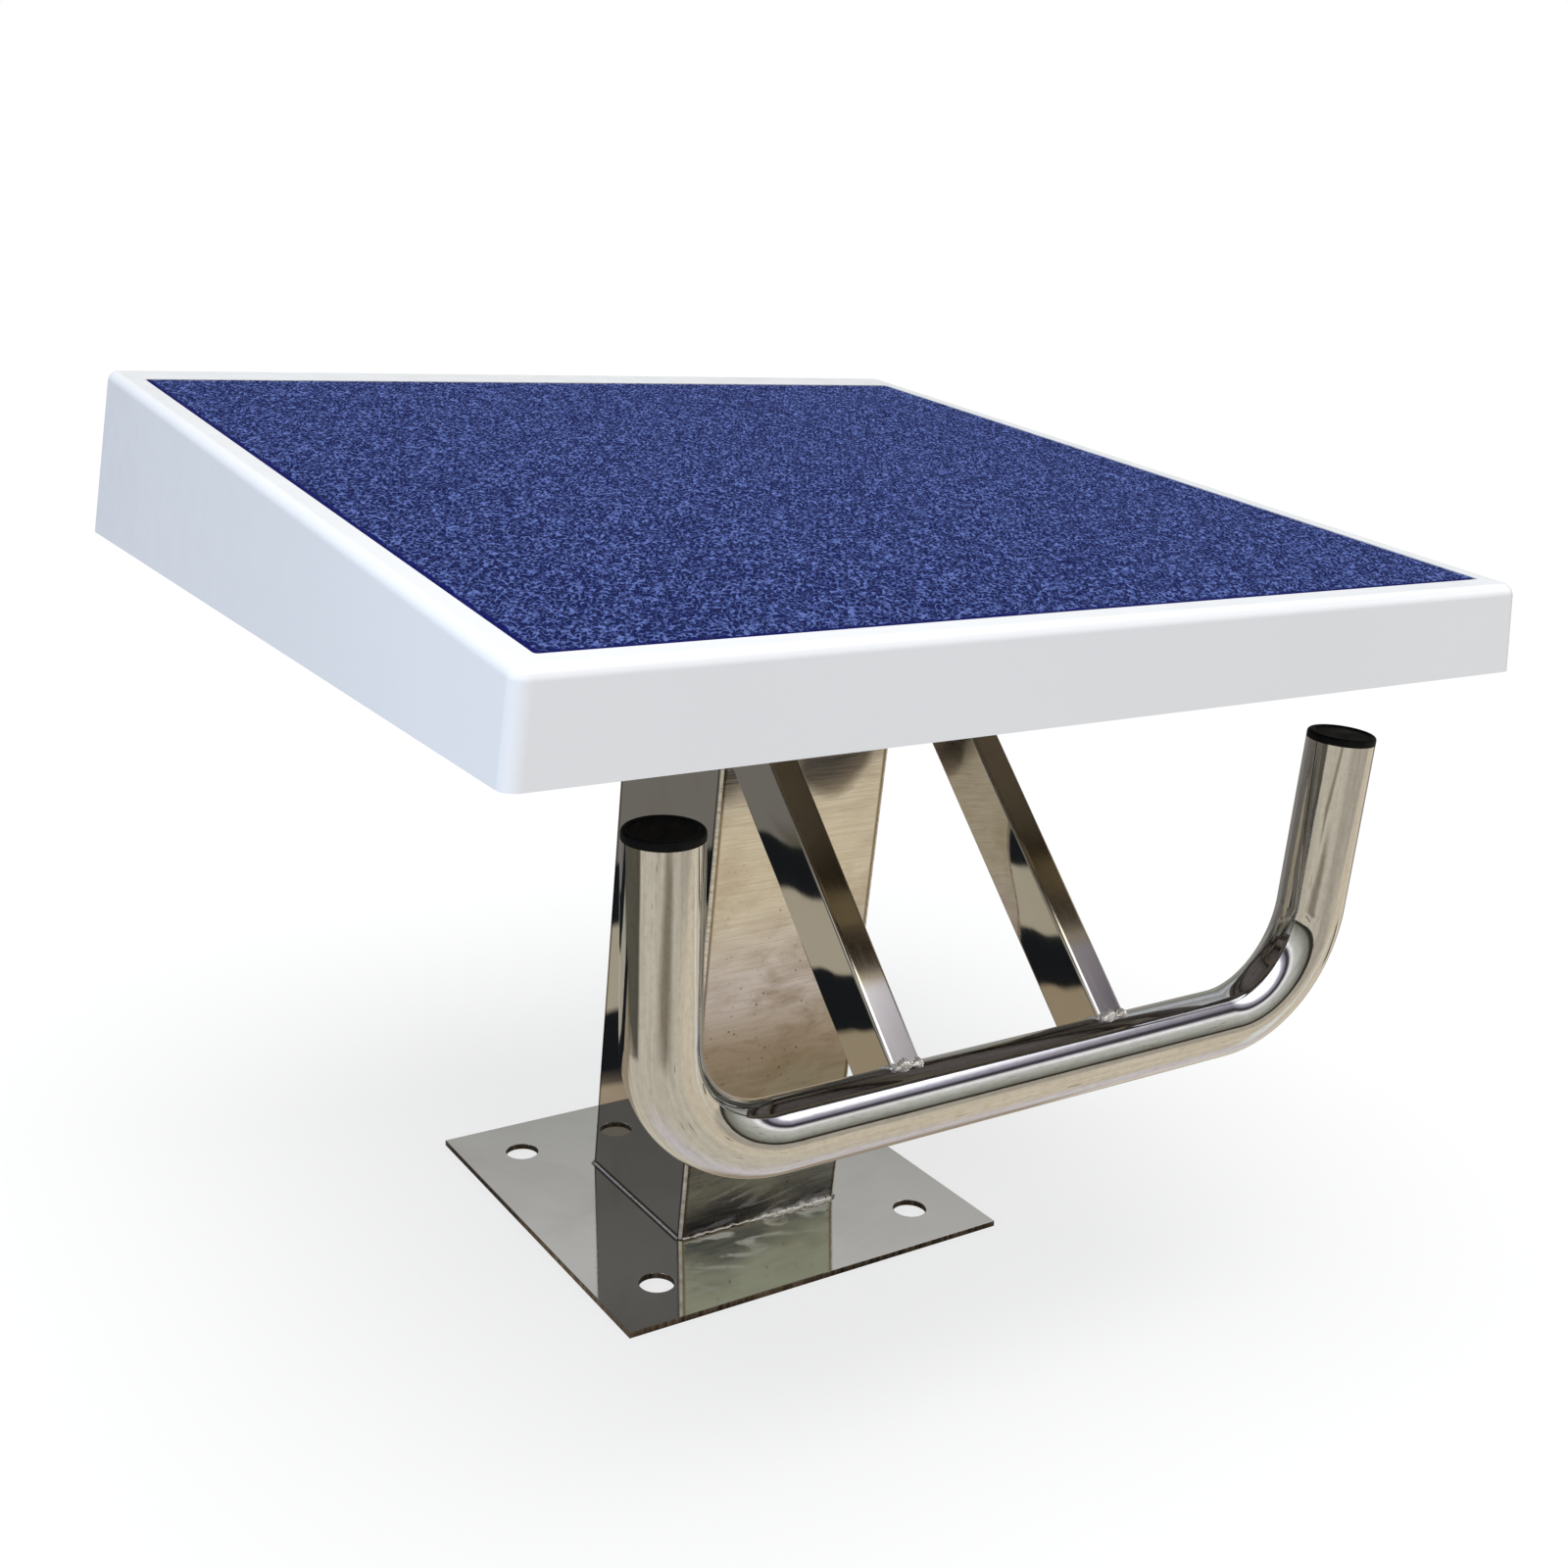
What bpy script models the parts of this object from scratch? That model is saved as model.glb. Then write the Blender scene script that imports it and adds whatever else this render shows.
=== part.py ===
"""Swimming starting block: a post on a floor plate, a sloping moulded top and a U-shaped hand bar.

Metres, +Z up. The origin is the middle of the floor plate's underside. -Y is the pool side, and the
block is symmetrical about X = 0.
"""

from math import atan2, cos, pi, radians, sin, sqrt, tan

import bmesh
import bpy
from mathutils import Matrix, Vector

# Clearance between two pieces that rest on, fit into or are cut by each other
JOINT_GAP = 0.0003

# Floor plate
BASE_SIDE = 0.275
BASE_THICKNESS = 0.004
BASE_EDGE_CHAMFER = 0.0005
ANCHOR_EDGE_DISTANCE = 0.0405
ANCHOR_HOLE_DIAMETER = 0.022

# Post, four welded panels that lean towards the pool
COLUMN_SIDE = 0.120
COLUMN_WALL = 0.003
COLUMN_CORNER_FLAT = 0.0025
COLUMN_LEAN = radians(5.3)

# Moulded top: its sloping surface, measured between sharp edges
TOP_WIDTH = 0.612
TOP_DEPTH = 0.624
TOP_OVERHANG = 0.338
TOP_SLOPE = radians(6.3)
TOP_FRONT_HEIGHT = 0.456
SKIRT_FRONT_DEPTH = 0.0492
RIM_SLOPE = radians(1.1)
SIDE_DRAFT = radians(5.9)
FRONT_DRAFT = radians(0.7)
REAR_DRAFT = radians(7.7)
CORNER_RADIUS = 0.008
TOP_EDGE_RADIUS = 0.006
TOP_EDGE_SHARE = 0.9  # the most of the upright corners' radius that the top edge's rounding may take
PANEL_THICKNESS = 0.008
SKIRT_THICKNESS = 0.005
PAD_SIDE = 0.036
PAD_HEIGHT = 0.008
PAD_ROOT = 0.002

# Anti-slip sheet in its recess
DECK_SIDE_MARGIN = 0.0152
DECK_FRONT_MARGIN = 0.016
DECK_REAR_MARGIN = 0.035
DECK_RECESS = 0.002
DECK_PROUD = 0.0005
DECK_CORNER_RADIUS = 0.002

# Steel frame under the top
RAIL_WIDTH = 0.025
RAIL_WALL = 0.002
FRAME_INSET = 0.022
HEAD_PLATE_THICKNESS = 0.006
HEAD_PLATE_LIP = 0.030

# Struts, which clasp the post and run down to the hand bar
STRUT_WIDTH = 0.0185
STRUT_DEPTH = 0.037
STRUT_WALL = 0.0015
STRUT_EDGE_RADIUS = 0.0022
STRUT_HEAD_OFFSET = 0.017
STRUT_FOOT_DROP = 0.0091
STRUT_FOOT_SETBACK = 0.009

# Hand bar
BAR_DIAMETER = 0.038
BAR_WALL = 0.002
BAR_BEHIND_EDGE = 0.0421
BAR_HALF_WIDTH = 0.2126
BAR_BEND_RADIUS = 0.066
LEG_LENGTH = 0.1613
LEG_FLARE = radians(2.0)
LEG_TILT = radians(1.8)
CAP_BELOW_RIM = 0.0365

# End caps of the hand bar
CAP_THICKNESS = 0.004
CAP_EDGE_RADIUS = 0.0018
CAP_PLUG_LENGTH = 0.018
CAP_PLUG_WALL = 0.0025
CAP_CEILING = 0.003

# M8 bolts that hold the top to the frame
BOLT_RADIUS = 0.004
BOLT_HEAD_FLATS = 0.013
BOLT_HEAD_HEIGHT = 0.0053
BOLT_HOLE_RADIUS = 0.0045
BOLT_END_DISTANCE = 0.070
WASHER_RADIUS = 0.008
WASHER_THICKNESS = 0.0016
INSERT_RADIUS = 0.006
INSERT_LENGTH = 0.010
INSERT_ROOM = 0.0005
BOLT_TIP_ROOM = 0.0015

# Fineness of round shapes
HOLE_SIDES = 32
BAR_SIDES = 36
BEND_STEPS = 11
SMALL_SIDES = 24
CORNER_STEPS = 5
EDGE_STEPS = 4
STRUT_EDGE_STEPS = 2
CAP_EDGE_STEPS = 3
CUT_MARGIN = 0.010

X_AXIS = Vector((1, 0, 0))
Y_AXIS = Vector((0, 1, 0))
Z_AXIS = Vector((0, 0, 1))
SIDES = (("left", -1), ("right", 1))


# Planes and points

def plane(point, normal):
    """A plane as its unit normal and its distance from the origin."""
    unit = Vector(normal).normalized()
    return unit, unit.dot(Vector(point))


def shifted(flat, distance):
    """The same plane moved along its normal."""
    return flat[0], flat[1] + distance


def flipped(flat):
    """The same plane seen from its other side."""
    return -flat[0], -flat[1]


def meet(first, second, third):
    """The point that three planes share."""
    normals = Matrix((first[0], second[0], third[0]))
    return normals.inverted() @ Vector((first[1], second[1], third[1]))


def crossing(point, direction, flat):
    """The point where a line meets a plane."""
    start = Vector(point)
    travel = (flat[1] - flat[0].dot(start)) / flat[0].dot(direction)
    return start + travel * Vector(direction)


# Derived places of the moulded top
TOP_FRONT_Y = -TOP_OVERHANG
TOP_REAR_Y = TOP_FRONT_Y + TOP_DEPTH
TOP_REAR_HEIGHT = TOP_FRONT_HEIGHT + TOP_DEPTH * tan(TOP_SLOPE)
TOP_HALF_WIDTH = TOP_WIDTH / 2
TOP_HALF_LENGTH = TOP_DEPTH / (2 * cos(TOP_SLOPE))
TOP_CENTRE = Vector((0, (TOP_FRONT_Y + TOP_REAR_Y) / 2, (TOP_FRONT_HEIGHT + TOP_REAR_HEIGHT) / 2))
TOP_FRAME = Matrix.Translation(TOP_CENTRE) @ Matrix.Rotation(TOP_SLOPE, 4, "X")
TOP_PLANE = plane(TOP_CENTRE, (0, -sin(TOP_SLOPE), cos(TOP_SLOPE)))
RIM_FRONT = Vector((0, TOP_FRONT_Y, TOP_FRONT_HEIGHT - SKIRT_FRONT_DEPTH))
RIM_PLANE = plane(RIM_FRONT, (0, -sin(RIM_SLOPE), cos(RIM_SLOPE)))
FRONT_PLANE = plane((0, TOP_FRONT_Y, TOP_FRONT_HEIGHT), (0, -1, tan(FRONT_DRAFT)))
REAR_PLANE = plane((0, TOP_REAR_Y, TOP_REAR_HEIGHT), (0, 1, tan(REAR_DRAFT)))
SIDE_PLANES = {
    side: plane(
        (side * TOP_HALF_WIDTH, TOP_FRONT_Y, TOP_FRONT_HEIGHT),
        (side, -tan(SIDE_DRAFT) * tan(TOP_SLOPE), tan(SIDE_DRAFT)),
    )
    for side in (-1, 1)
}

# Depths below the top's surface, square to it
PANEL_BOTTOM = -PANEL_THICKNESS
PAD_BOTTOM = PANEL_BOTTOM - PAD_HEIGHT
RAIL_TOP = PAD_BOTTOM - JOINT_GAP
RAIL_BOTTOM = RAIL_TOP - RAIL_WIDTH
HEAD_PLATE_TOP = RAIL_BOTTOM - JOINT_GAP
HEAD_PLATE_BOTTOM = HEAD_PLATE_TOP - HEAD_PLATE_THICKNESS
HEAD_SEAT_PLANE = shifted(TOP_PLANE, HEAD_PLATE_BOTTOM - JOINT_GAP)

# Post
COLUMN_FOOT = Vector((0, 0, BASE_THICKNESS + JOINT_GAP))
COLUMN_DIRECTION = Vector((0, -sin(COLUMN_LEAN), cos(COLUMN_LEAN)))
COLUMN_FORWARD = Vector((0, -cos(COLUMN_LEAN), -sin(COLUMN_LEAN)))
COLUMN_HEAD = crossing(COLUMN_FOOT, COLUMN_DIRECTION, HEAD_SEAT_PLANE)

# Hand bar
BAR_RADIUS = BAR_DIAMETER / 2
BAR_Y = TOP_FRONT_Y + BAR_BEHIND_EDGE
CAP_TOP_HEIGHT = crossing((0, BAR_Y, 0), Z_AXIS, RIM_PLANE).z - CAP_BELOW_RIM
BAR_HEIGHT = CAP_TOP_HEIGHT - (LEG_LENGTH + JOINT_GAP + CAP_THICKNESS) * cos(LEG_TILT)
BAR_CENTRE = Vector((0, BAR_Y, BAR_HEIGHT))
BAR_FRAME = Matrix.Translation(BAR_CENTRE) @ Matrix.Rotation(LEG_TILT, 4, "X")

# Struts
STRUT_X = COLUMN_SIDE / 2 + JOINT_GAP + STRUT_WIDTH / 2
STRUT_FOOT = BAR_CENTRE - Vector((0, 0, STRUT_FOOT_DROP))
STRUT_HEAD = COLUMN_HEAD - Vector((0, STRUT_HEAD_OFFSET, 0))
STRUT_ANGLE = atan2(STRUT_HEAD.z - STRUT_FOOT.z, STRUT_HEAD.y - STRUT_FOOT.y)
STRUT_DIRECTION = Vector((0, cos(STRUT_ANGLE), sin(STRUT_ANGLE)))
STRUT_UPPER_FACE = Vector((0, -sin(STRUT_ANGLE), cos(STRUT_ANGLE)))

# Frame under the top, in the top's own frame
FRAME_HALF_X = TOP_HALF_WIDTH - SKIRT_THICKNESS - FRAME_INSET
FRAME_HALF_Y = TOP_HALF_LENGTH - SKIRT_THICKNESS - FRAME_INSET
SIDE_RAIL_X = FRAME_HALF_X - RAIL_WIDTH / 2
END_RAIL_Y = FRAME_HALF_Y - RAIL_WIDTH / 2
BOLT_Y = FRAME_HALF_Y - BOLT_END_DISTANCE
PAD_YS = (-BOLT_Y, 0, BOLT_Y)
BOLT_SEATS = [
    (f"{side_name}_{row_name}", side * SIDE_RAIL_X, y)
    for side_name, side in SIDES
    for row_name, y in zip(("front", "middle", "rear"), PAD_YS)
]


# Meshes

def prism(walls, bottom, top):
    """A block inside its walls' planes, given in turn, and its edges that run from bottom to top."""
    shape = bmesh.new()
    corners = list(zip(walls, walls[1:] + walls[:1]))
    lower, upper = ([shape.verts.new(meet(a, b, level)) for a, b in corners] for level in (bottom, top))
    shape.faces.new(lower[::-1])
    shape.faces.new(upper)
    for i in range(len(walls)):
        j = (i + 1) % len(walls)
        shape.faces.new((lower[i], lower[j], upper[j], upper[i]))
    uprights = [shape.edges.get(pair) for pair in zip(lower, upper)]
    return shape, uprights


def box(low, high):
    """An upright block between two opposite corners."""
    walls = [plane(low, -X_AXIS), plane(low, -Y_AXIS), plane(high, X_AXIS), plane(high, Y_AXIS)]
    return prism(walls, plane(low, -Z_AXIS), plane(high, Z_AXIS))


def round_edges(shape, edges, radius, steps):
    bmesh.ops.bevel(
        shape, geom=edges, offset=radius, offset_type="OFFSET", segments=steps, profile=0.5, affect="EDGES"
    )


def loft(rings, closed=False):
    """A skin through rings of equally many points, capped at its ends or closed on itself."""
    shape = bmesh.new()
    loops = [[shape.verts.new(point) for point in ring] for ring in rings]
    pairs = list(zip(loops, loops[1:]))
    if closed:
        pairs.append((loops[-1], loops[0]))
    else:
        shape.faces.new(loops[0][::-1])
        shape.faces.new(loops[-1])
    for lower, upper in pairs:
        for i in range(len(lower)):
            j = (i + 1) % len(lower)
            shape.faces.new((lower[i], lower[j], upper[j], upper[i]))
    return shape


def circle(radius, height, sides):
    """Points on a level circle about the Z axis."""
    turns = [2 * pi * i / sides for i in range(sides)]
    return [Vector((radius * cos(turn), radius * sin(turn), height)) for turn in turns]


def hexagon(across_flats, height, sides):
    """Points on a level hexagon, as many as a circle of the same sides has."""
    points = []
    for i in range(sides):
        turn = 2 * pi * i / sides
        off_flat = (turn % (pi / 3)) - pi / 6
        reach = across_flats / 2 / cos(off_flat)
        points.append(Vector((reach * cos(turn), reach * sin(turn), height)))
    return points


def turned(profile, sides, closed=False):
    """A shape turned about the Z axis from (radius, height) pairs."""
    return loft([circle(radius, height, sides) for radius, height in profile], closed)


def cylinder(radius, low, high, sides=HOLE_SIDES):
    return turned([(radius, low), (radius, high)], sides)


def joined(shapes):
    """Several shapes in one mesh, for use as a cutter or an addition."""
    whole = bmesh.new()
    for shape in shapes:
        part = bpy.data.meshes.new("joined")
        shape.to_mesh(part)
        shape.free()
        whole.from_mesh(part)
        bpy.data.meshes.remove(part)
    return whole


def moved(shape, matrix):
    bmesh.ops.transform(shape, matrix=matrix, verts=shape.verts)
    return shape


# Materials and objects

def make_material(name, colour, metallic, roughness):
    material = bpy.data.materials.new(name)
    material.use_nodes = True
    shader = material.node_tree.nodes["Principled BSDF"]
    shader.inputs["Base Color"].default_value = (*colour, 1)
    shader.inputs["Metallic"].default_value = metallic
    shader.inputs["Roughness"].default_value = roughness
    material.diffuse_color = (*colour, 1)
    return material


def make_materials():
    return {
        "steel": make_material("polished_stainless", (0.62, 0.60, 0.57), 1.0, 0.12),
        "frame": make_material("mill_stainless", (0.50, 0.50, 0.50), 1.0, 0.40),
        "fasteners": make_material("fastener_stainless", (0.55, 0.55, 0.55), 1.0, 0.30),
        "brass": make_material("insert_brass", (0.72, 0.55, 0.25), 1.0, 0.35),
        "shell": make_material("white_gelcoat", (0.80, 0.81, 0.82), 0.0, 0.15),
        "deck": make_material("blue_grit", (0.05, 0.08, 0.32), 0.0, 0.75),
        "cap": make_material("black_plastic", (0.02, 0.02, 0.02), 0.0, 0.40),
    }


def add_datum(name, matrix):
    datum = bpy.data.objects.new(name, None)
    datum.matrix_world = matrix
    bpy.context.collection.objects.link(datum)
    return datum


def add_object(name, shape, material, datum=None, place=None):
    """A solid in its datum's frame, shaded smooth across its round faces."""
    bmesh.ops.recalc_face_normals(shape, faces=shape.faces)
    mesh = bpy.data.meshes.new(name)
    shape.to_mesh(mesh)
    shape.free()
    mesh.shade_smooth()
    mesh.set_sharp_from_angle(angle=radians(30))
    piece = bpy.data.objects.new(name, mesh)
    if material:
        mesh.materials.append(material)
    piece.parent = datum
    piece.matrix_local = place or Matrix.Identity(4)
    bpy.context.collection.objects.link(piece)
    return piece


def shape_with(piece, name, shape, operation="DIFFERENCE", datum=None):
    """Cuts a shape from a piece, or adds it to the piece, by a Boolean modifier."""
    tool = add_object(name, shape, None, datum)
    tool.hide_render = True
    tool.display_type = "WIRE"
    modifier = piece.modifiers.new(name, "BOOLEAN")
    modifier.operation = operation
    modifier.object = tool
    modifier.solver = "EXACT"


# Floor plate

def make_base_plate(materials):
    half = BASE_SIDE / 2
    shape, _ = box((-half, -half, 0), (half, half, BASE_THICKNESS))
    plate = add_object("base_plate", shape, materials["steel"])
    reach = half - ANCHOR_EDGE_DISTANCE
    holes = []
    for x in (-reach, reach):
        for y in (-reach, reach):
            hole = cylinder(ANCHOR_HOLE_DIAMETER / 2, -CUT_MARGIN, BASE_THICKNESS + CUT_MARGIN)
            holes.append(moved(hole, Matrix.Translation((x, y, 0))))
    shape_with(plate, "anchor_holes", joined(holes))
    chamfer = plate.modifiers.new("edge_chamfer", "BEVEL")
    chamfer.width = BASE_EDGE_CHAMFER
    chamfer.segments = 1
    chamfer.limit_method = "ANGLE"
    chamfer.angle_limit = radians(60)


# Post

def make_column(materials):
    """Four panels from the floor plate to the head plate, mitred where they meet and ground flat there."""
    half = COLUMN_SIDE / 2
    foot = plane(COLUMN_FOOT, -Z_AXIS)
    backward = -COLUMN_FORWARD
    for name, outward in (
        ("column_front", COLUMN_FORWARD),
        ("column_right", X_AXIS),
        ("column_rear", backward),
        ("column_left", -X_AXIS),
    ):
        across = COLUMN_DIRECTION.cross(outward)
        outer = plane(COLUMN_FOOT + outward * half, outward)
        inner = shifted(flipped(outer), COLUMN_WALL)
        mitres = [
            shifted(plane(COLUMN_FOOT, sign * across - outward), -JOINT_GAP / 2) for sign in (-1, 1)
        ]
        corners = [
            shifted(plane(COLUMN_FOOT, sign * across + outward), sqrt(2) * half - COLUMN_CORNER_FLAT / 2)
            for sign in (-1, 1)
        ]
        walls = [mitres[0], corners[0], outer, corners[1], mitres[1], inner]
        shape, _ = prism(walls, foot, HEAD_SEAT_PLANE)
        add_object(name, shape, materials["steel"])


def make_head_plate(materials, top_datum):
    centre = TOP_FRAME.inverted() @ COLUMN_HEAD
    reach = COLUMN_SIDE / 2 + HEAD_PLATE_LIP
    low = (-reach, centre.y - reach, HEAD_PLATE_BOTTOM)
    high = (reach, centre.y + reach, HEAD_PLATE_TOP)
    shape, _ = box(low, high)
    add_object("head_plate", shape, materials["frame"], top_datum)


# Frame under the top

def square_tube(width, wall, length):
    """A hollow square tube along Y, centred on its own middle."""
    rings = []
    for half, y in (
        (width / 2, -length / 2),
        (width / 2, length / 2),
        (width / 2 - wall, length / 2),
        (width / 2 - wall, -length / 2),
    ):
        rings.append([Vector((x * half, y, z * half)) for x, z in ((-1, -1), (-1, 1), (1, 1), (1, -1))])
    return loft(rings, closed=True)


def make_frame(materials, top_datum):
    """Two bolted side rails, two end rails between them and two middle rails over the struts."""
    middle_z = (RAIL_TOP + RAIL_BOTTOM) / 2
    mid_length = 2 * (END_RAIL_Y - RAIL_WIDTH / 2 - JOINT_GAP)
    for name, side in SIDES:
        rail = add_object(
            f"rail_{name}",
            square_tube(RAIL_WIDTH, RAIL_WALL, 2 * FRAME_HALF_Y),
            materials["frame"],
            top_datum,
            Matrix.Translation((side * SIDE_RAIL_X, 0, middle_z)),
        )
        holes = [
            moved(
                cylinder(BOLT_HOLE_RADIUS, RAIL_BOTTOM - CUT_MARGIN, RAIL_TOP + CUT_MARGIN, SMALL_SIDES),
                Matrix.Translation((side * SIDE_RAIL_X, y, 0)),
            )
            for y in PAD_YS
        ]
        shape_with(rail, f"rail_holes_{name}", joined(holes), datum=top_datum)
        add_object(
            f"rail_mid_{name}",
            square_tube(RAIL_WIDTH, RAIL_WALL, mid_length),
            materials["frame"],
            top_datum,
            Matrix.Translation((side * STRUT_X, 0, middle_z)),
        )
    across = Matrix.Rotation(pi / 2, 4, "Z")
    end_length = 2 * (SIDE_RAIL_X - RAIL_WIDTH / 2 - JOINT_GAP)
    for name, sign in (("front", -1), ("rear", 1)):
        add_object(
            f"rail_{name}",
            square_tube(RAIL_WIDTH, RAIL_WALL, end_length),
            materials["frame"],
            top_datum,
            Matrix.Translation((0, sign * END_RAIL_Y, middle_z)) @ across,
        )


# Moulded top

def wedge(inset, drop, below):
    """The top's tapering block, drawn in from its sides and its surface and lengthened below its rim."""
    walls = [shifted(wall, -inset) for wall in (SIDE_PLANES[-1], FRONT_PLANE, SIDE_PLANES[1], REAR_PLANE)]
    return prism(walls, shifted(flipped(RIM_PLANE), below), shifted(TOP_PLANE, -drop))


def deck_outline(clearance):
    """The deck's low and high corner in the top's frame, drawn in by a clearance."""
    low = Vector((-TOP_HALF_WIDTH + DECK_SIDE_MARGIN, -TOP_HALF_LENGTH + DECK_FRONT_MARGIN, 0))
    high = Vector((TOP_HALF_WIDTH - DECK_SIDE_MARGIN, TOP_HALF_LENGTH - DECK_REAR_MARGIN, 0))
    draw = Vector((clearance, clearance, 0))
    return low + draw, high - draw


def make_top_shell(materials, top_datum):
    """A skirted shell, with a recess for the deck above and pads for the frame below."""
    shape, uprights = wedge(0, 0, 0)
    round_edges(shape, uprights, CORNER_RADIUS, CORNER_STEPS)
    surface = max(shape.faces, key=lambda face: face.calc_center_median().dot(TOP_PLANE[0]))
    round_edges(shape, list(surface.edges), min(TOP_EDGE_RADIUS, TOP_EDGE_SHARE * CORNER_RADIUS), EDGE_STEPS)
    shell = add_object("top_shell", shape, materials["shell"])

    hollow, uprights = wedge(SKIRT_THICKNESS, PANEL_THICKNESS, CUT_MARGIN)
    round_edges(hollow, uprights, max(CORNER_RADIUS - SKIRT_THICKNESS, SKIRT_THICKNESS / 2), CORNER_STEPS)
    shape_with(shell, "shell_hollow", hollow)

    low, high = deck_outline(0)
    recess, uprights = box(low - DECK_RECESS * Z_AXIS, high + CUT_MARGIN * Z_AXIS)
    round_edges(recess, uprights, DECK_CORNER_RADIUS, CORNER_STEPS)
    shape_with(shell, "deck_recess", recess, datum=top_datum)

    half = PAD_SIDE / 2
    pads = []
    for x in (-SIDE_RAIL_X, -STRUT_X, STRUT_X, SIDE_RAIL_X):
        for y in PAD_YS:
            pad, _ = box((x - half, y - half, PAD_BOTTOM), (x + half, y + half, PANEL_BOTTOM + PAD_ROOT))
            pads.append(pad)
    shape_with(shell, "frame_pads", joined(pads), "UNION", top_datum)

    radius = INSERT_RADIUS + JOINT_GAP
    ceiling = PAD_BOTTOM + INSERT_LENGTH + INSERT_ROOM
    holes = [
        moved(cylinder(radius, PAD_BOTTOM - CUT_MARGIN, ceiling, SMALL_SIDES), Matrix.Translation((x, y, 0)))
        for _, x, y in BOLT_SEATS
    ]
    shape_with(shell, "insert_holes", joined(holes), datum=top_datum)


def make_deck(materials, top_datum):
    low, high = deck_outline(JOINT_GAP)
    bottom = (JOINT_GAP - DECK_RECESS) * Z_AXIS
    shape, uprights = box(low + bottom, high + DECK_PROUD * Z_AXIS)
    round_edges(shape, uprights, DECK_CORNER_RADIUS, CORNER_STEPS)
    surface = max(shape.faces, key=lambda face: face.calc_center_median().z)
    round_edges(shape, list(surface.edges), DECK_PROUD / 2, 1)
    add_object("antislip_deck", shape, materials["deck"], top_datum)


# Struts

def strut_block(x, inset, foot_distance, top):
    """A slanted block about the strut's axis, drawn in by the inset on its four long faces."""
    half_width = STRUT_WIDTH / 2 - inset
    half_depth = STRUT_DEPTH / 2 - inset
    walls = [
        plane((x - half_width, 0, 0), -X_AXIS),
        plane(STRUT_FOOT + STRUT_UPPER_FACE * half_depth, STRUT_UPPER_FACE),
        plane((x + half_width, 0, 0), X_AXIS),
        plane(STRUT_FOOT - STRUT_UPPER_FACE * half_depth, -STRUT_UPPER_FACE),
    ]
    return prism(walls, plane(STRUT_FOOT + STRUT_DIRECTION * foot_distance, -STRUT_DIRECTION), top)


def make_struts(materials):
    """Rectangular tubes from the head plate down to the hand bar, coped around it."""
    for name, side in SIDES:
        x = side * STRUT_X
        shape, uprights = strut_block(x, 0, STRUT_FOOT_SETBACK, HEAD_SEAT_PLANE)
        round_edges(shape, uprights, STRUT_EDGE_RADIUS, STRUT_EDGE_STEPS)
        strut = add_object(f"strut_{name}", shape, materials["steel"])
        bore, _ = strut_block(x, STRUT_WALL, -CUT_MARGIN, shifted(HEAD_SEAT_PLANE, CUT_MARGIN))
        shape_with(strut, f"strut_bore_{name}", bore)
        reach = STRUT_WIDTH / 2 + CUT_MARGIN
        saddle = cylinder(BAR_RADIUS + JOINT_GAP, -reach, reach, BAR_SIDES)
        turn = Matrix.Translation((x, BAR_CENTRE.y, BAR_CENTRE.z)) @ Matrix.Rotation(pi / 2, 4, "Y")
        shape_with(strut, f"strut_saddle_{name}", moved(saddle, turn))


# Hand bar

def rounded_path(corners, radius, steps):
    """Points along straight lines through the corners, with an arc at each inner corner."""
    points = [corners[0]]
    for before, corner, after in zip(corners, corners[1:], corners[2:]):
        back = (before - corner).normalized()
        on = (after - corner).normalized()
        half_angle = back.angle(on) / 2
        centre = corner + (back + on).normalized() * radius / sin(half_angle)
        start = corner + back * radius / tan(half_angle) - centre
        turn = back.cross(on).normalized()
        sweep = pi - 2 * half_angle
        for i in range(steps + 1):
            points.append(centre + Matrix.Rotation(-sweep * i / steps, 3, turn) @ start)
    points.append(corners[-1])
    return points


def tube_rings(path, radius, sides):
    """Rings square to a path that lies in the XZ plane."""
    rings = []
    for i, point in enumerate(path):
        along = (path[min(i + 1, len(path) - 1)] - path[max(i - 1, 0)]).normalized()
        if i == 1:
            along = (path[1] - path[0]).normalized()
        if i == len(path) - 2:
            along = (path[-1] - path[-2]).normalized()
        across = along.cross(Y_AXIS)
        turns = [2 * pi * k / sides for k in range(sides)]
        rings.append([point + radius * (cos(turn) * Y_AXIS + sin(turn) * across) for turn in turns])
    return rings


def leg_top():
    """The open end of the right leg, in the bar's frame."""
    return Vector((BAR_HALF_WIDTH + LEG_LENGTH * tan(LEG_FLARE), 0, LEG_LENGTH))


def make_grip_bar(materials, bar_datum):
    """A bent tube with legs that flare a little, open at both ends."""
    end = leg_top()
    corner = Vector((BAR_HALF_WIDTH, 0, 0))
    mirror = Matrix.Scale(-1, 3, X_AXIS)
    path = rounded_path([mirror @ end, mirror @ corner, corner, end], BAR_BEND_RADIUS, BEND_STEPS)
    outside = tube_rings(path, BAR_RADIUS, BAR_SIDES)
    inside = tube_rings(path, BAR_RADIUS - BAR_WALL, BAR_SIDES)
    add_object("grip_bar", loft(outside + inside[::-1], closed=True), materials["steel"], bar_datum)


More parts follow.
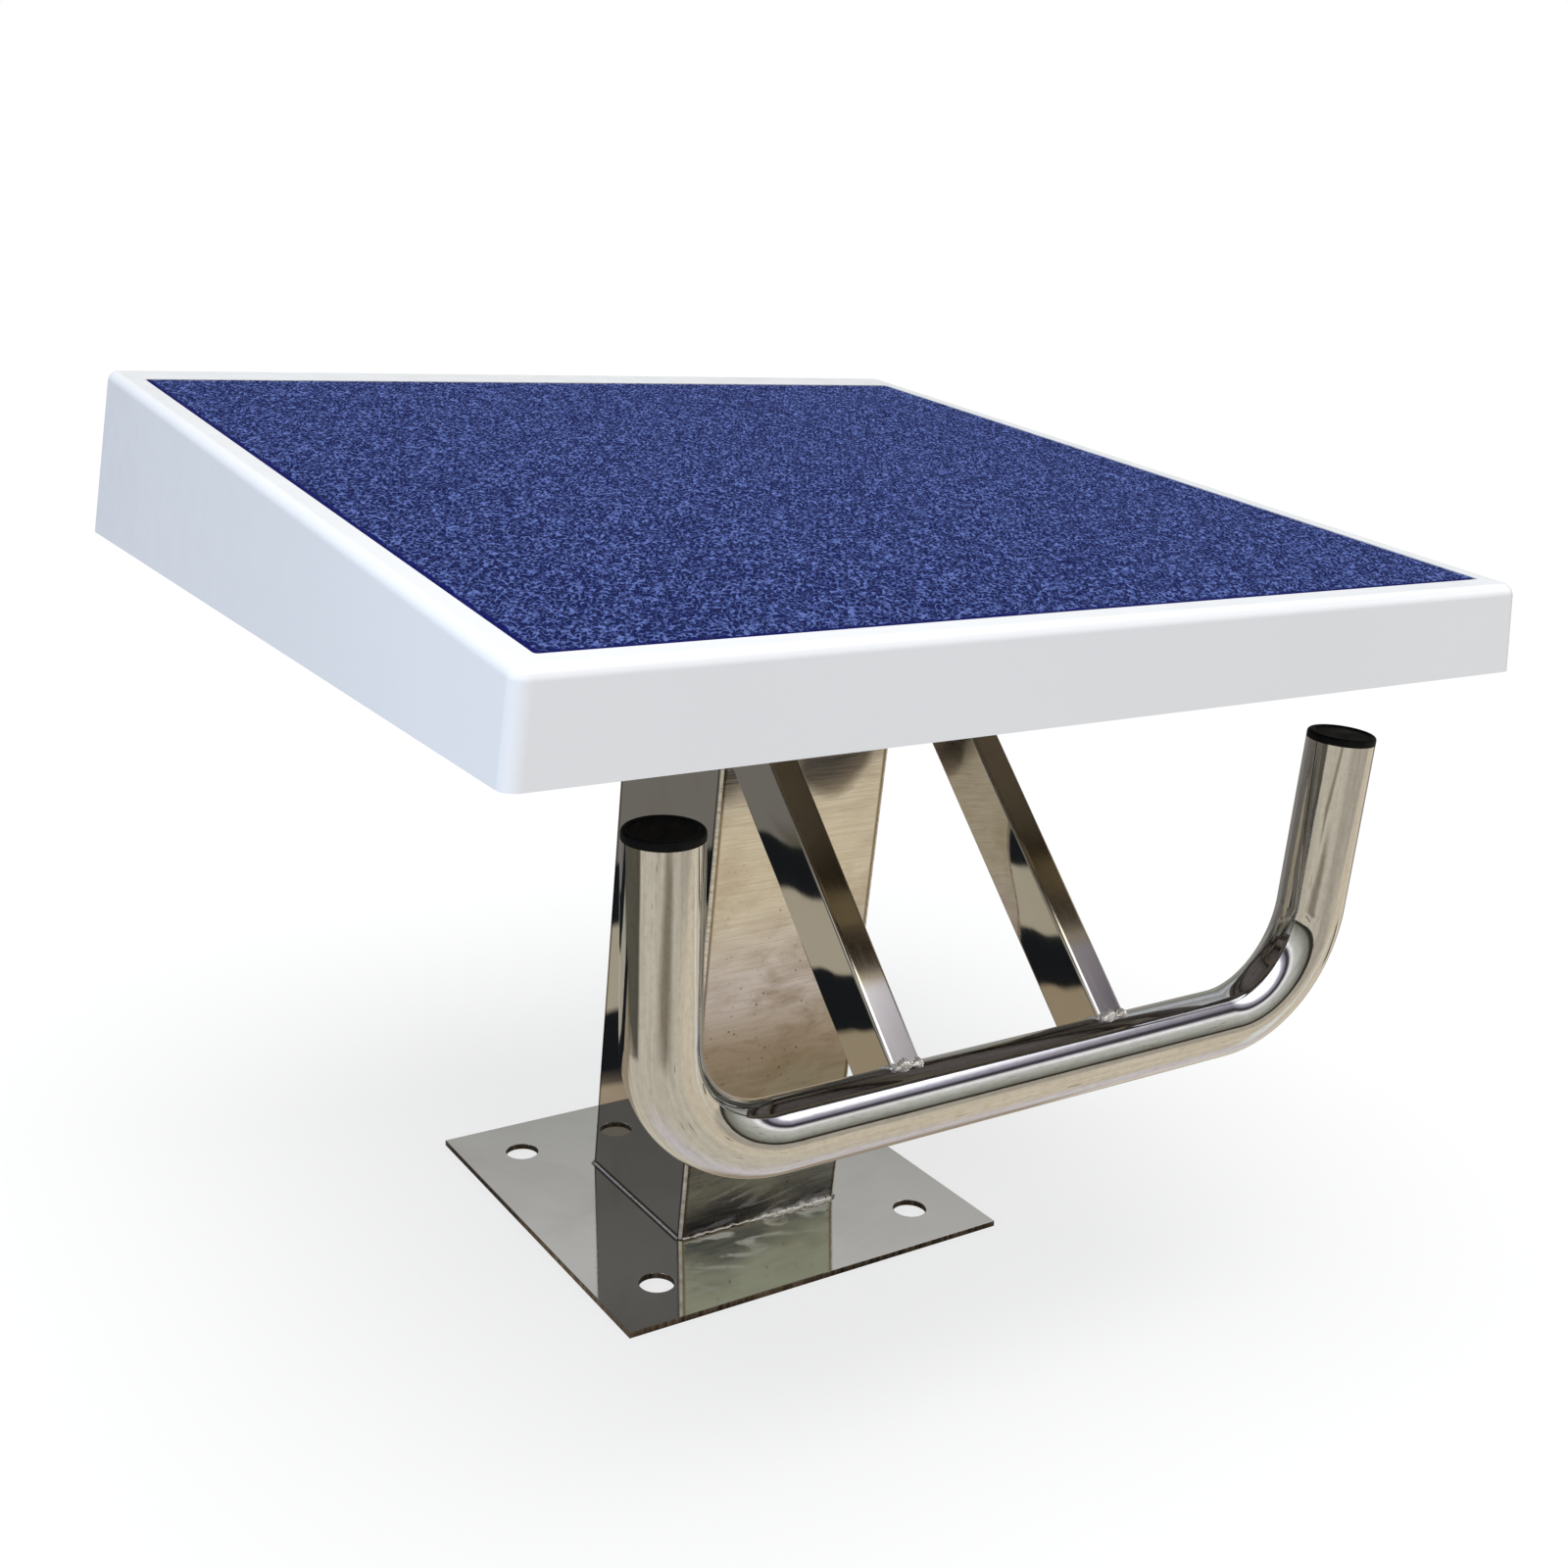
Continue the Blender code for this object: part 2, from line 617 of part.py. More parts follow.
def make_grip_caps(materials, bar_datum):
    """Push-in caps: a flange as wide as the tube, and a hollow plug inside it."""
    plug = BAR_RADIUS - BAR_WALL - JOINT_GAP
    edge = BAR_RADIUS - CAP_EDGE_RADIUS
    profile = [
        (plug - CAP_PLUG_WALL, -CAP_CEILING),
        (plug - CAP_PLUG_WALL, -CAP_PLUG_LENGTH),
        (plug, -CAP_PLUG_LENGTH),
        (plug, JOINT_GAP),
        (BAR_RADIUS, JOINT_GAP),
    ]
    for i in range(CAP_EDGE_STEPS + 1):
        turn = pi / 2 * i / CAP_EDGE_STEPS
        height = JOINT_GAP + CAP_THICKNESS - CAP_EDGE_RADIUS * (1 - sin(turn))
        profile.append((edge + CAP_EDGE_RADIUS * cos(turn), height))
    for name, side in SIDES:
        end = leg_top()
        end.x *= side
        place = Matrix.Translation(end) @ Matrix.Rotation(side * LEG_FLARE, 4, "Y")
        add_object(f"grip_cap_{name}", turned(profile, BAR_SIDES), materials["cap"], bar_datum, place)


# Fasteners between the frame and the top

def make_fasteners(materials, top_datum):
    """At each seat a bolt from below, its washer and the threaded insert in the pad."""
    washer_top = RAIL_BOTTOM - JOINT_GAP
    head_top = washer_top - WASHER_THICKNESS - JOINT_GAP
    insert_top = PAD_BOTTOM + INSERT_LENGTH
    tip = insert_top - BOLT_TIP_ROOM
    insert_profile = [
        (INSERT_RADIUS, PAD_BOTTOM),
        (INSERT_RADIUS, insert_top),
        (BOLT_RADIUS + JOINT_GAP, insert_top),
        (BOLT_RADIUS + JOINT_GAP, PAD_BOTTOM),
    ]
    washer_profile = [
        (WASHER_RADIUS, washer_top - WASHER_THICKNESS),
        (WASHER_RADIUS, washer_top),
        (BOLT_RADIUS + JOINT_GAP, washer_top),
        (BOLT_RADIUS + JOINT_GAP, washer_top - WASHER_THICKNESS),
    ]
    for name, x, y in BOLT_SEATS:
        place = Matrix.Translation((x, y, 0))
        bolt = loft([
            hexagon(BOLT_HEAD_FLATS, head_top - BOLT_HEAD_HEIGHT, SMALL_SIDES),
            hexagon(BOLT_HEAD_FLATS, head_top, SMALL_SIDES),
            circle(BOLT_RADIUS, head_top, SMALL_SIDES),
            circle(BOLT_RADIUS, tip, SMALL_SIDES),
        ])
        washer = turned(washer_profile, SMALL_SIDES, True)
        insert = turned(insert_profile, SMALL_SIDES, True)
        add_object(f"top_bolt_{name}", bolt, materials["fasteners"], top_datum, place)
        add_object(f"top_washer_{name}", washer, materials["fasteners"], top_datum, place)
        add_object(f"top_insert_{name}", insert, materials["brass"], top_datum, place)


def main():
    for leftover in list(bpy.data.objects):
        bpy.data.objects.remove(leftover)
    materials = make_materials()
    top_datum = add_datum("top_datum", TOP_FRAME)
    bar_datum = add_datum("bar_datum", BAR_FRAME)
    make_base_plate(materials)
    make_column(materials)
    make_head_plate(materials, top_datum)
    make_frame(materials, top_datum)
    make_top_shell(materials, top_datum)
    make_deck(materials, top_datum)
    make_struts(materials)
    make_grip_bar(materials, bar_datum)
    make_grip_caps(materials, bar_datum)
    make_fasteners(materials, top_datum)
    bpy.context.view_layer.update()


main()
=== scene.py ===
"""A swimming starting block, dressed: fine surfaces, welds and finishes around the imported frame.

Metres, +Z up. The origin is the middle of the floor plate's underside, and -Y is the pool side.
"""

from math import atan2, cos, pi, radians, sin, sqrt, tan

import bmesh
import bpy
import numpy as np
from mathutils import Matrix, Vector, noise


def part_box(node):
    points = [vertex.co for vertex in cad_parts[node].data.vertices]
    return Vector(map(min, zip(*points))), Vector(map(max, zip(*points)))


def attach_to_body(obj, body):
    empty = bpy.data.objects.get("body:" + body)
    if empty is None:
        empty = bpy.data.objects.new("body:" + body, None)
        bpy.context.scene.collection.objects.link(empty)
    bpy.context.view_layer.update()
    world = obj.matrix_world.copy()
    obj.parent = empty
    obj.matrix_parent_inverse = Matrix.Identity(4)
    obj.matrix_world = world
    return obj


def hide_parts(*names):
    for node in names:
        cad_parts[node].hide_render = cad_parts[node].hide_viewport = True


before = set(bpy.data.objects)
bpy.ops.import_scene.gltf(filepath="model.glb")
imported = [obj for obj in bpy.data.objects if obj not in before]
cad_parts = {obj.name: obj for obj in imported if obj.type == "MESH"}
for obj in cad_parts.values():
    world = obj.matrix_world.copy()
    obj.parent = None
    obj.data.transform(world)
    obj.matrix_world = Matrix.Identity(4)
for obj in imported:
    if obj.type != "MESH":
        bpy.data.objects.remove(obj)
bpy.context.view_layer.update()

# Clearance between two pieces that touch
JOINT_GAP = 0.0003

# Floor plate, from the frame
BASE_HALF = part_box("base_plate")[1].x
BASE_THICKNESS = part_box("base_plate")[1].z
ANCHOR_EDGE_DISTANCE = 0.0405
ANCHOR_HOLE_RADIUS = 0.011
PLATE_EDGE_RADIUS = 0.0005

# Post, from the frame
COLUMN_HALF = -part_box("column_left")[0].x
COLUMN_CORNER_FLAT = 0.0025
COLUMN_LEAN = radians(5.3)

# Moulded top: its sloping surface, measured between sharp edges
TOP_WIDTH = 0.612
TOP_DEPTH = 0.624
TOP_OVERHANG = 0.338
TOP_SLOPE = radians(6.3)
TOP_FRONT_HEIGHT = 0.456
SKIRT_FRONT_DEPTH = 0.0492
RIM_SLOPE = radians(1.1)
SIDE_DRAFT = radians(5.9)
FRONT_DRAFT = radians(0.7)
REAR_DRAFT = radians(7.7)
CORNER_RADIUS = 0.008
TOP_EDGE_RADIUS = 0.006
PANEL_THICKNESS = 0.008
SKIRT_THICKNESS = 0.005
PAD_SIDE = 0.036
PAD_HEIGHT = 0.008
PAD_ROOT = 0.002

# Anti-slip sheet in its recess
DECK_SIDE_MARGIN = 0.0152
DECK_FRONT_MARGIN = 0.016
DECK_REAR_MARGIN = 0.035
DECK_RECESS = 0.002
DECK_PROUD = 0.0005
DECK_CORNER_RADIUS = 0.002
DECK_BORDER = 0.0030
BORDER_SOFTNESS = 0.0002
GRIT_PITCH = 0.0019
GRIT_JITTER = 0.28 * GRIT_PITCH
GRIT_HEIGHT = 0.0011

# Steel frame under the top
RAIL_WIDTH = 0.025
RAIL_EDGE_RADIUS = 0.0008
FRAME_INSET = 0.022
HEAD_PLATE_THICKNESS = 0.006
HEAD_PLATE_EDGE_RADIUS = 0.0005
BOLT_END_DISTANCE = 0.070
BOLT_EDGE_RADIUS = 0.0003
WASHER_EDGE_RADIUS = 0.0002
INSERT_HOLE_RADIUS = 0.0063
INSERT_HOLE_DEPTH = 0.0105

# Struts
STRUT_WIDTH = 0.0185
STRUT_DEPTH = 0.037
STRUT_WALL = 0.0015
STRUT_EDGE_RADIUS = 0.0022
STRUT_HEAD_OFFSET = 0.017
STRUT_FOOT_DROP = 0.0091
STRUT_FOOT_SETBACK = 0.009

# Hand bar
BAR_RADIUS = 0.019
BAR_WALL = 0.002
BAR_BEHIND_EDGE = 0.0421
BAR_HALF_WIDTH = 0.2126
BAR_BEND_RADIUS = 0.066
LEG_LENGTH = 0.1613
LEG_FLARE = radians(2.0)
LEG_TILT = radians(1.8)
CAP_BELOW_RIM = 0.0365
CAP_THICKNESS = 0.004
CAP_EDGE_RADIUS = 0.0018
CAP_DISH = 0.0007
CAP_RIM_WIDTH = 0.0022
CAP_PLUG_LENGTH = 0.018
CAP_PLUG_WALL = 0.0025
CAP_WEB_DEPTH = 0.003

# Weld beads
WELD_PITCH = 0.0016
WELD_STEP = 0.0004
WELD_SIDES = 12
POST_FOOT_BEAD = 0.0017
POST_HEAD_BEAD = 0.0020
POST_BEAD_OFFSET = 0.0003
POST_BEAD_ENDS = (0.02, 0.98)
STRUT_FLANK_BEAD = 0.0011
STRUT_END_BEAD = 0.0034
STRUT_END_INSET = 0.0004
STRUT_HEAD_BEAD = 0.0016

# Painted dark lines: reflections beside the post's ground seams, and shade round its foot
SEAM_LINE = 0.0042
SEAM_LINE_SOFTNESS = 0.0012
FOOT_LINE = 0.0032
FOOT_LINE_SOFTNESS = 0.0010
FOOT_LINE_CORNER = 0.0015

# Painted reflections: a dark patch on the post's front, and the top's underside on the struts
REFLECTED_PATCH_X = 0.020
REFLECTED_PATCH_HEIGHT = 0.332
REFLECTED_PATCH_RADIUS_X = 0.027
REFLECTED_PATCH_RADIUS_Z = 0.030
UNDERSIDE_REFLECTION_LEVEL = 0.256

# Fineness of round shapes
HOLE_SIDES = 96
BAR_SIDES = 96
BEND_STEPS = 40
CORNER_STEPS = 12
EDGE_STEPS = 4
CUT_MARGIN = 0.010
SMOOTH_ANGLE = radians(32)
MERGE_DISTANCE = 0.00001

# Floor: how much of the light it throws back on the block, and how it looks
FLOOR_BOUNCE = 0.56
FLOOR_SEEN = 0.22
FLOOR_LIFT = 0.73

# Camera, placed as in the photograph
EYE = Vector((-0.5918, -0.9541, 0.6062))
EYE_YAW = radians(33.667)
EYE_PITCH = radians(15.817)
EYE_ROLL = radians(-2.777)
LENS = 41.58
SENSOR = 36.0

X_AXIS = Vector((1, 0, 0))
Y_AXIS = Vector((0, 1, 0))
Z_AXIS = Vector((0, 0, 1))
SIDES = (("left", -1), ("right", 1))


# Planes and places

def plane(point, normal):
    """A plane as its unit normal and its distance from the origin."""
    unit = Vector(normal).normalized()
    return unit, unit.dot(Vector(point))


def shifted(flat, distance):
    return flat[0], flat[1] + distance


def height_over(flat, point):
    """How far a point lies outside a plane."""
    return flat[0].dot(point) - flat[1]


def meet(first, second, third):
    """The point that three planes share."""
    normals = Matrix((first[0], second[0], third[0]))
    return normals.inverted() @ Vector((first[1], second[1], third[1]))


def crossing(point, direction, flat):
    """The point where a line meets a plane."""
    start = Vector(point)
    travel = (flat[1] - flat[0].dot(start)) / flat[0].dot(direction)
    return start + travel * Vector(direction)


def placed(point, turn, axis):
    return Matrix.Translation(point) @ Matrix.Rotation(turn, 4, axis)


def arc_turns(start, end, steps):
    return [start + (end - start) * i / steps for i in range(steps + 1)]


def circle_turns(sides):
    return arc_turns(0, 2 * pi, sides)[:-1]


# Derived places of the moulded top
TOP_FRONT_Y = -TOP_OVERHANG
TOP_REAR_Y = TOP_FRONT_Y + TOP_DEPTH
TOP_REAR_HEIGHT = TOP_FRONT_HEIGHT + TOP_DEPTH * tan(TOP_SLOPE)
TOP_HALF_WIDTH = TOP_WIDTH / 2
TOP_HALF_LENGTH = TOP_DEPTH / (2 * cos(TOP_SLOPE))
TOP_CENTRE = Vector((0, (TOP_FRONT_Y + TOP_REAR_Y) / 2, (TOP_FRONT_HEIGHT + TOP_REAR_HEIGHT) / 2))
TOP_FRAME = placed(TOP_CENTRE, TOP_SLOPE, "X")
TOP_PLANE = plane(TOP_CENTRE, (0, -sin(TOP_SLOPE), cos(TOP_SLOPE)))
RIM_FRONT = Vector((0, TOP_FRONT_Y, TOP_FRONT_HEIGHT - SKIRT_FRONT_DEPTH))
RIM_PLANE = plane(RIM_FRONT, (0, -sin(RIM_SLOPE), cos(RIM_SLOPE)))
FRONT_PLANE = plane((0, TOP_FRONT_Y, TOP_FRONT_HEIGHT), (0, -1, tan(FRONT_DRAFT)))
REAR_PLANE = plane((0, TOP_REAR_Y, TOP_REAR_HEIGHT), (0, 1, tan(REAR_DRAFT)))
LEFT_PLANE, RIGHT_PLANE = (
    plane(
        (side * TOP_HALF_WIDTH, TOP_FRONT_Y, TOP_FRONT_HEIGHT),
        (side, -tan(SIDE_DRAFT) * tan(TOP_SLOPE), tan(SIDE_DRAFT)),
    )
    for _, side in SIDES
)
SKIN_PLANES = (LEFT_PLANE, FRONT_PLANE, RIGHT_PLANE, REAR_PLANE)

# Depths below the top's surface, square to it
PANEL_BOTTOM = -PANEL_THICKNESS
PAD_BOTTOM = PANEL_BOTTOM - PAD_HEIGHT
PAD_TOP = PANEL_BOTTOM + PAD_ROOT
RAIL_TOP = PAD_BOTTOM - JOINT_GAP
RAIL_BOTTOM = RAIL_TOP - RAIL_WIDTH
HEAD_PLATE_TOP = RAIL_BOTTOM - JOINT_GAP
HEAD_PLATE_BOTTOM = HEAD_PLATE_TOP - HEAD_PLATE_THICKNESS
HEAD_SEAT_PLANE = shifted(TOP_PLANE, HEAD_PLATE_BOTTOM - JOINT_GAP)

# Post
COLUMN_FOOT = Vector((0, 0, BASE_THICKNESS + JOINT_GAP))
COLUMN_DIRECTION = Vector((0, -sin(COLUMN_LEAN), cos(COLUMN_LEAN)))
COLUMN_FORWARD = Vector((0, -cos(COLUMN_LEAN), -sin(COLUMN_LEAN)))
COLUMN_HEAD = crossing(COLUMN_FOOT, COLUMN_DIRECTION, HEAD_SEAT_PLANE)
FOOT_PLANE = plane(COLUMN_FOOT, Z_AXIS)

# Hand bar
BAR_Y = TOP_FRONT_Y + BAR_BEHIND_EDGE
CAP_TOP_HEIGHT = crossing((0, BAR_Y, 0), Z_AXIS, RIM_PLANE).z - CAP_BELOW_RIM
BAR_HEIGHT = CAP_TOP_HEIGHT - (LEG_LENGTH + JOINT_GAP + CAP_THICKNESS) * cos(LEG_TILT)
BAR_CENTRE = Vector((0, BAR_Y, BAR_HEIGHT))
BAR_FRAME = placed(BAR_CENTRE, LEG_TILT, "X")

# Struts
STRUT_X = COLUMN_HALF + JOINT_GAP + STRUT_WIDTH / 2
STRUT_FOOT = BAR_CENTRE - Vector((0, 0, STRUT_FOOT_DROP))
STRUT_HEAD = COLUMN_HEAD - Vector((0, STRUT_HEAD_OFFSET, 0))
STRUT_ANGLE = atan2(STRUT_HEAD.z - STRUT_FOOT.z, STRUT_HEAD.y - STRUT_FOOT.y)
STRUT_DIRECTION = Vector((0, cos(STRUT_ANGLE), sin(STRUT_ANGLE)))
STRUT_UPPER_FACE = Vector((0, -sin(STRUT_ANGLE), cos(STRUT_ANGLE)))

# Frame under the top, in the top's own frame
SIDE_RAIL_X = TOP_HALF_WIDTH - SKIRT_THICKNESS - FRAME_INSET - RAIL_WIDTH / 2
BOLT_Y = TOP_HALF_LENGTH - SKIRT_THICKNESS - FRAME_INSET - BOLT_END_DISTANCE
PAD_YS = (-BOLT_Y, 0, BOLT_Y)


# Node trees

class Output:
    """An output of a node, and the nodes that can follow it."""

    def __init__(self, nodes, socket):
        self.nodes = nodes
        self.socket = socket

    def math(self, operation, other=0.0):
        return self.nodes.add("Math", {0: self, 1: other}, operation=operation)

    def __add__(self, other):
        return self.math("ADD", other)

    def __sub__(self, other):
        return self.math("SUBTRACT", other)

    def __mul__(self, other):
        return self.math("MULTIPLY", other)

    def __truediv__(self, other):
        return self.math("DIVIDE", other)

    def __abs__(self):
        return self.math("ABSOLUTE")

    def least(self, other):
        return self.math("MINIMUM", other)

    def most(self, other):
        return self.math("MAXIMUM", other)

    def ramp(self, low, high, to_low=0.0, to_high=1.0):
        """Its range mapped on another, held at its ends."""
        inputs = {"Value": self, "From Min": low, "From Max": high, "To Min": to_low, "To Max": to_high}
        return self.nodes.add("MapRange", inputs)

    def within(self, low, high, soft):
        """1 where it lies between two limits, with a soft change at each."""
        return self.ramp(low - soft, low + soft) * self.ramp(high - soft, high + soft, 1.0, 0.0)

    def blend(self, first, second):
        """Two colours mixed by it."""
        return self.nodes.add("Mix", {0: self, 6: first, 7: second}, 2, data_type="RGBA")

    def bands(self, stops):
        """A colour that follows it, in quarter turns, through stops of degrees and colour."""
        colour = self.nodes.add("ValToRGB", {"Fac": self})
        elements = colour.socket.node.color_ramp.elements
        elements[0].position = stops[0][0] / 90
        elements[1].position = stops[-1][0] / 90
        for degrees, *_ in stops[1:-1]:
            elements.new(degrees / 90)
        for element, (_, *tone) in zip(elements, stops):
            element.color = (*tone, 1)
        return colour

    def bump(self, distance, over=None):
        """A normal with it as a height, on top of another normal."""
        inputs = {"Height": self, "Distance": distance, "Strength": 1.0}
        if over:
            inputs["Normal"] = over
        return self.nodes.add("Bump", inputs)


class Nodes:
    """A tree that grows node by node."""

    def __init__(self, tree):
        self.tree = tree

    def fill(self, node, inputs):
        """Gives a node's inputs values or other nodes' outputs."""
        for key, value in inputs.items():
            socket = node.inputs[key]
            if isinstance(value, Output):
                self.tree.links.new(value.socket, socket)
            else:
                socket.default_value = (*value, 1) if socket.type == "RGBA" else value

    def add(self, kind, inputs=(), output=0, **settings):
        node = self.tree.nodes.new("ShaderNode" + kind)
        for key, value in settings.items():
            setattr(node, key, value)
        self.fill(node, dict(inputs))
        return Output(self, node.outputs[output])

    def seen(self):
        """1 where the camera sees it, straight, mirrored or through glass, and 0 for the light it gives."""
        rays = ("Is Camera Ray", "Is Glossy Ray", "Is Transmission Ray")
        camera, glossy, transmission = (self.add("LightPath", output=ray) for ray in rays)
        return camera.most(glossy).most(transmission)


class Look(Nodes):
    """A material around one Principled shader."""

    def __init__(self, name, colour, **values):
        self.material = bpy.data.materials.new(name)
        self.material.use_nodes = True
        self.material.cycles.emission_sampling = "NONE"
        super().__init__(self.material.node_tree)
        self.place = self.add("TexCoord", output="Object")
        self.feed(Base_Color=colour, **values)

    def feed(self, **inputs):
        """Gives the shader's own inputs values or outputs."""
        shader = self.tree.nodes["Principled BSDF"]
        self.fill(shader, {key.replace("_", " "): value for key, value in inputs.items()})
        return self.material

    def axes(self):
        return [self.add("SeparateXYZ", {"Vector": self.place}, axis) for axis in "XYZ"]

    def along(self, direction, origin):
        """How far the place lies from an origin along a direction."""
        vectors = {0: self.place, 1: tuple(direction)}
        return self.add("VectorMath", vectors, "Value", operation="DOT_PRODUCT") - origin.dot(direction)

    def turned(self, turn):
        return self.add("Mapping", {"Vector": self.place, "Rotation": turn})

    def stretched(self, stretch, turn=(0, 0, 0)):
        """The place, turned and then scaled along each axis."""
        return self.add("Mapping", {"Vector": self.turned(turn), "Scale": stretch})

    def noise(self, scale, detail=3.0, roughness=0.5, distortion=0.0, turn=(0, 0, 0)):
        """Noise with one scale, or with a scale along each axis of the turned place."""
        place = self.place
        if isinstance(scale, tuple):
            place = self.stretched(scale, turn)
            scale = 1.0
        shape = {"Scale": scale, "Detail": detail, "Roughness": roughness, "Distortion": distortion}
        return self.add("TexNoise", {"Vector": place, **shape})

    def cells(self, scale):
        return self.add("TexVoronoi", {"Vector": self.place, "Scale": scale})


# Materials

STEEL_LIGHT = (0.64, 0.62, 0.58)
STEEL_DARK = (0.46, 0.40, 0.32)
CROWN_RADIUS = 0.008


def painted_seam_reflection_and_foot_shade(look, colour):
    """Paints dark reflection lines on the post's panels along their corner seams, and dark shade at their
    foot.
    """
    x, _, z = look.axes()
    nearer = abs(look.along(COLUMN_FORWARD, COLUMN_FOOT)).least(abs(x))
    seam = COLUMN_HALF - SEAM_LINE
    foot = BASE_THICKNESS + FOOT_LINE
    line = nearer.ramp(seam, seam + SEAM_LINE_SOFTNESS).most(z.ramp(foot, foot - FOOT_LINE_SOFTNESS))
    return line.blend(colour, (0.20, 0.17, 0.13))


def painted_foot_shade(look, colour):
    """A dark painted shade line on the floor plate round the foot of the post."""
    x, y, _ = look.axes()
    corner = abs(x).least(abs(y)) - (COLUMN_HALF - FOOT_LINE_CORNER)
    reach = abs(x).most(abs(y)) + corner.most(0.0)
    edge = COLUMN_HALF + FOOT_LINE
    return reach.ramp(edge, edge - FOOT_LINE_SOFTNESS).blend(colour, (0.14, 0.12, 0.10))


def painted_underside_reflection(look, colour):
    """A painted brown reflection of the top's underside on the sheltered part of a strut, down to a hand's
    width above the bar.
    """
    _, _, z = look.axes()
    edge = z + look.noise(60.0).ramp(0.3, 0.7, -0.002, 0.002)
    reflected_underside = edge.ramp(0.262, 0.300).blend((0.60, 0.52, 0.37), (0.44, 0.38, 0.26))
    return edge.ramp(UNDERSIDE_REFLECTION_LEVEL - 0.002, UNDERSIDE_REFLECTION_LEVEL + 0.003).blend(colour, reflected_underside)


def polished_steel(
    name, brush, dull=0.035, grain=0.03, wave_scale=7.0, wave=0.0002, turn=(0, 0, 0), lines=None, bow=0.0
):
    """Polished stainless sheet: smudges, fine brushing along one way and a slight waviness."""
    look = Look(name, STEEL_LIGHT, Metallic=1.0, Roughness=dull)
    cloud = look.noise(9.0, 5.0, 0.62, 0.6)
    smudge_and_reflection = cloud.ramp(0.46, 0.74) * look.noise(26.0, 4.0, 0.6).ramp(0.35, 0.75, 0.35, 1.0) * 0.5
    colour = smudge_and_reflection.blend(STEEL_LIGHT, STEEL_DARK)
    if lines:
        colour = lines(look, colour)
    brushed = look.noise(brush, 4.0, 0.7, turn=turn)
    rough = cloud.ramp(0.3, 0.75, 0.75 * dull, 1.5 * dull) + brushed.ramp(0.45, 0.75, 0.0, grain)
    normal = look.noise(wave_scale, 1.0).bump(wave)
    if bow:
        offset = look.along(STRUT_UPPER_FACE, STRUT_FOOT)
        crown = (offset * offset + CROWN_RADIUS ** 2).math("SQRT") * -1.0
        normal = crown.bump(bow, normal)
    return look.feed(Base_Color=colour, Roughness=rough, Normal=brushed.bump(0.00006 * grain, normal))


def brushed_front():
    """The post's face towards the pool: brushed across, with darker specks, and with painted reflections in
    blotches and streaks lower down and in a dark patch high up.
    """
    look = Look("post_front_stainless", STEEL_LIGHT, Metallic=1.0, Roughness=0.13)
    x, _, z = look.axes()
    low = z.ramp(0.29, 0.17)
    blotch = look.noise((28.8, 48.0, 72.0), 5.0, 0.66, 0.35)
    broad = look.noise((9.8, 14.0, 22.4), 3.0, 0.55)
    # Painted reflection of the shaded ground under the block: brown blotches, strongest lower down
    smudge_and_reflection = blotch.ramp(0.44, 0.66) * broad.ramp(0.35, 0.62, 0.3, 1.0)
    smudge_and_reflection = smudge_and_reflection * low.ramp(0.0, 1.0, 0.34, 0.9) * z.ramp(0.06, 0.11, 0.25, 1.0)
    uneven = z + broad.ramp(0.3, 0.7, -0.02, 0.02)
    # Painted reflection: the lower part warmer and darker, and greenish grey near the foot
    clean = low.ramp(0.5, 1.0, 0.0, 0.5).blend(STEEL_LIGHT, (0.52, 0.45, 0.37))
    clean = uneven.ramp(0.125, 0.085).blend(clean, (0.46, 0.50, 0.43))
    colour = smudge_and_reflection.blend(clean, (0.31, 0.25, 0.165))
    # Painted reflection at the foot: dark streaks with pale bluish painted highlights
    streaks = look.noise((22, 110, 110), 4.0, 0.6, 0.7, (0, 0.22, 0))
    foot_reflection_streaks = streaks.ramp(0.40, 0.50).blend((0.60, 0.62, 0.68), (0.05, 0.06, 0.08))
    colour = uneven.ramp(0.038, 0.012, 0.0, 0.85).blend(colour, foot_reflection_streaks)
    # Painted reflection: a dark patch high on the face, where it mirrors the dark underside of the top
    off_x = (x - REFLECTED_PATCH_X) / REFLECTED_PATCH_RADIUS_X
    off_z = (z - REFLECTED_PATCH_HEIGHT) / REFLECTED_PATCH_RADIUS_Z
    reach = off_x * off_x + off_z * off_z + blotch.ramp(0.3, 0.7, -0.2, 0.2)
    colour = reach.ramp(1.25, 0.8, 0.0, 0.75).blend(colour, (0.13, 0.105, 0.08))
    specks = look.cells(210.0).ramp(0.10, 0.24, 1.0, 0.0) * look.noise(75.0).ramp(0.52, 0.62)
    specks = specks * low.ramp(0.0, 1.0, 0.1, 0.9)
    # Painted reflection lines beside the seams and painted shade at the foot, as on the other faces
    colour = painted_seam_reflection_and_foot_shade(look, specks.blend(colour, (0.13, 0.10, 0.07)))
    lines = look.noise((22, 800, 800), 4.0, 0.7)
    colour = lines.ramp(0.42, 0.68, 0.0, 0.45).blend(colour, (0.40, 0.35, 0.28))
    rough = lines.ramp(0.35, 0.7, 0.08, 0.17) + smudge_and_reflection.ramp(0.0, 1.0, 0.0, 0.06)
    normal = lines.bump(0.000012, look.noise(6.0, 1.0).bump(0.00015))
    return look.feed(Base_Color=colour, Roughness=rough, Normal=normal)


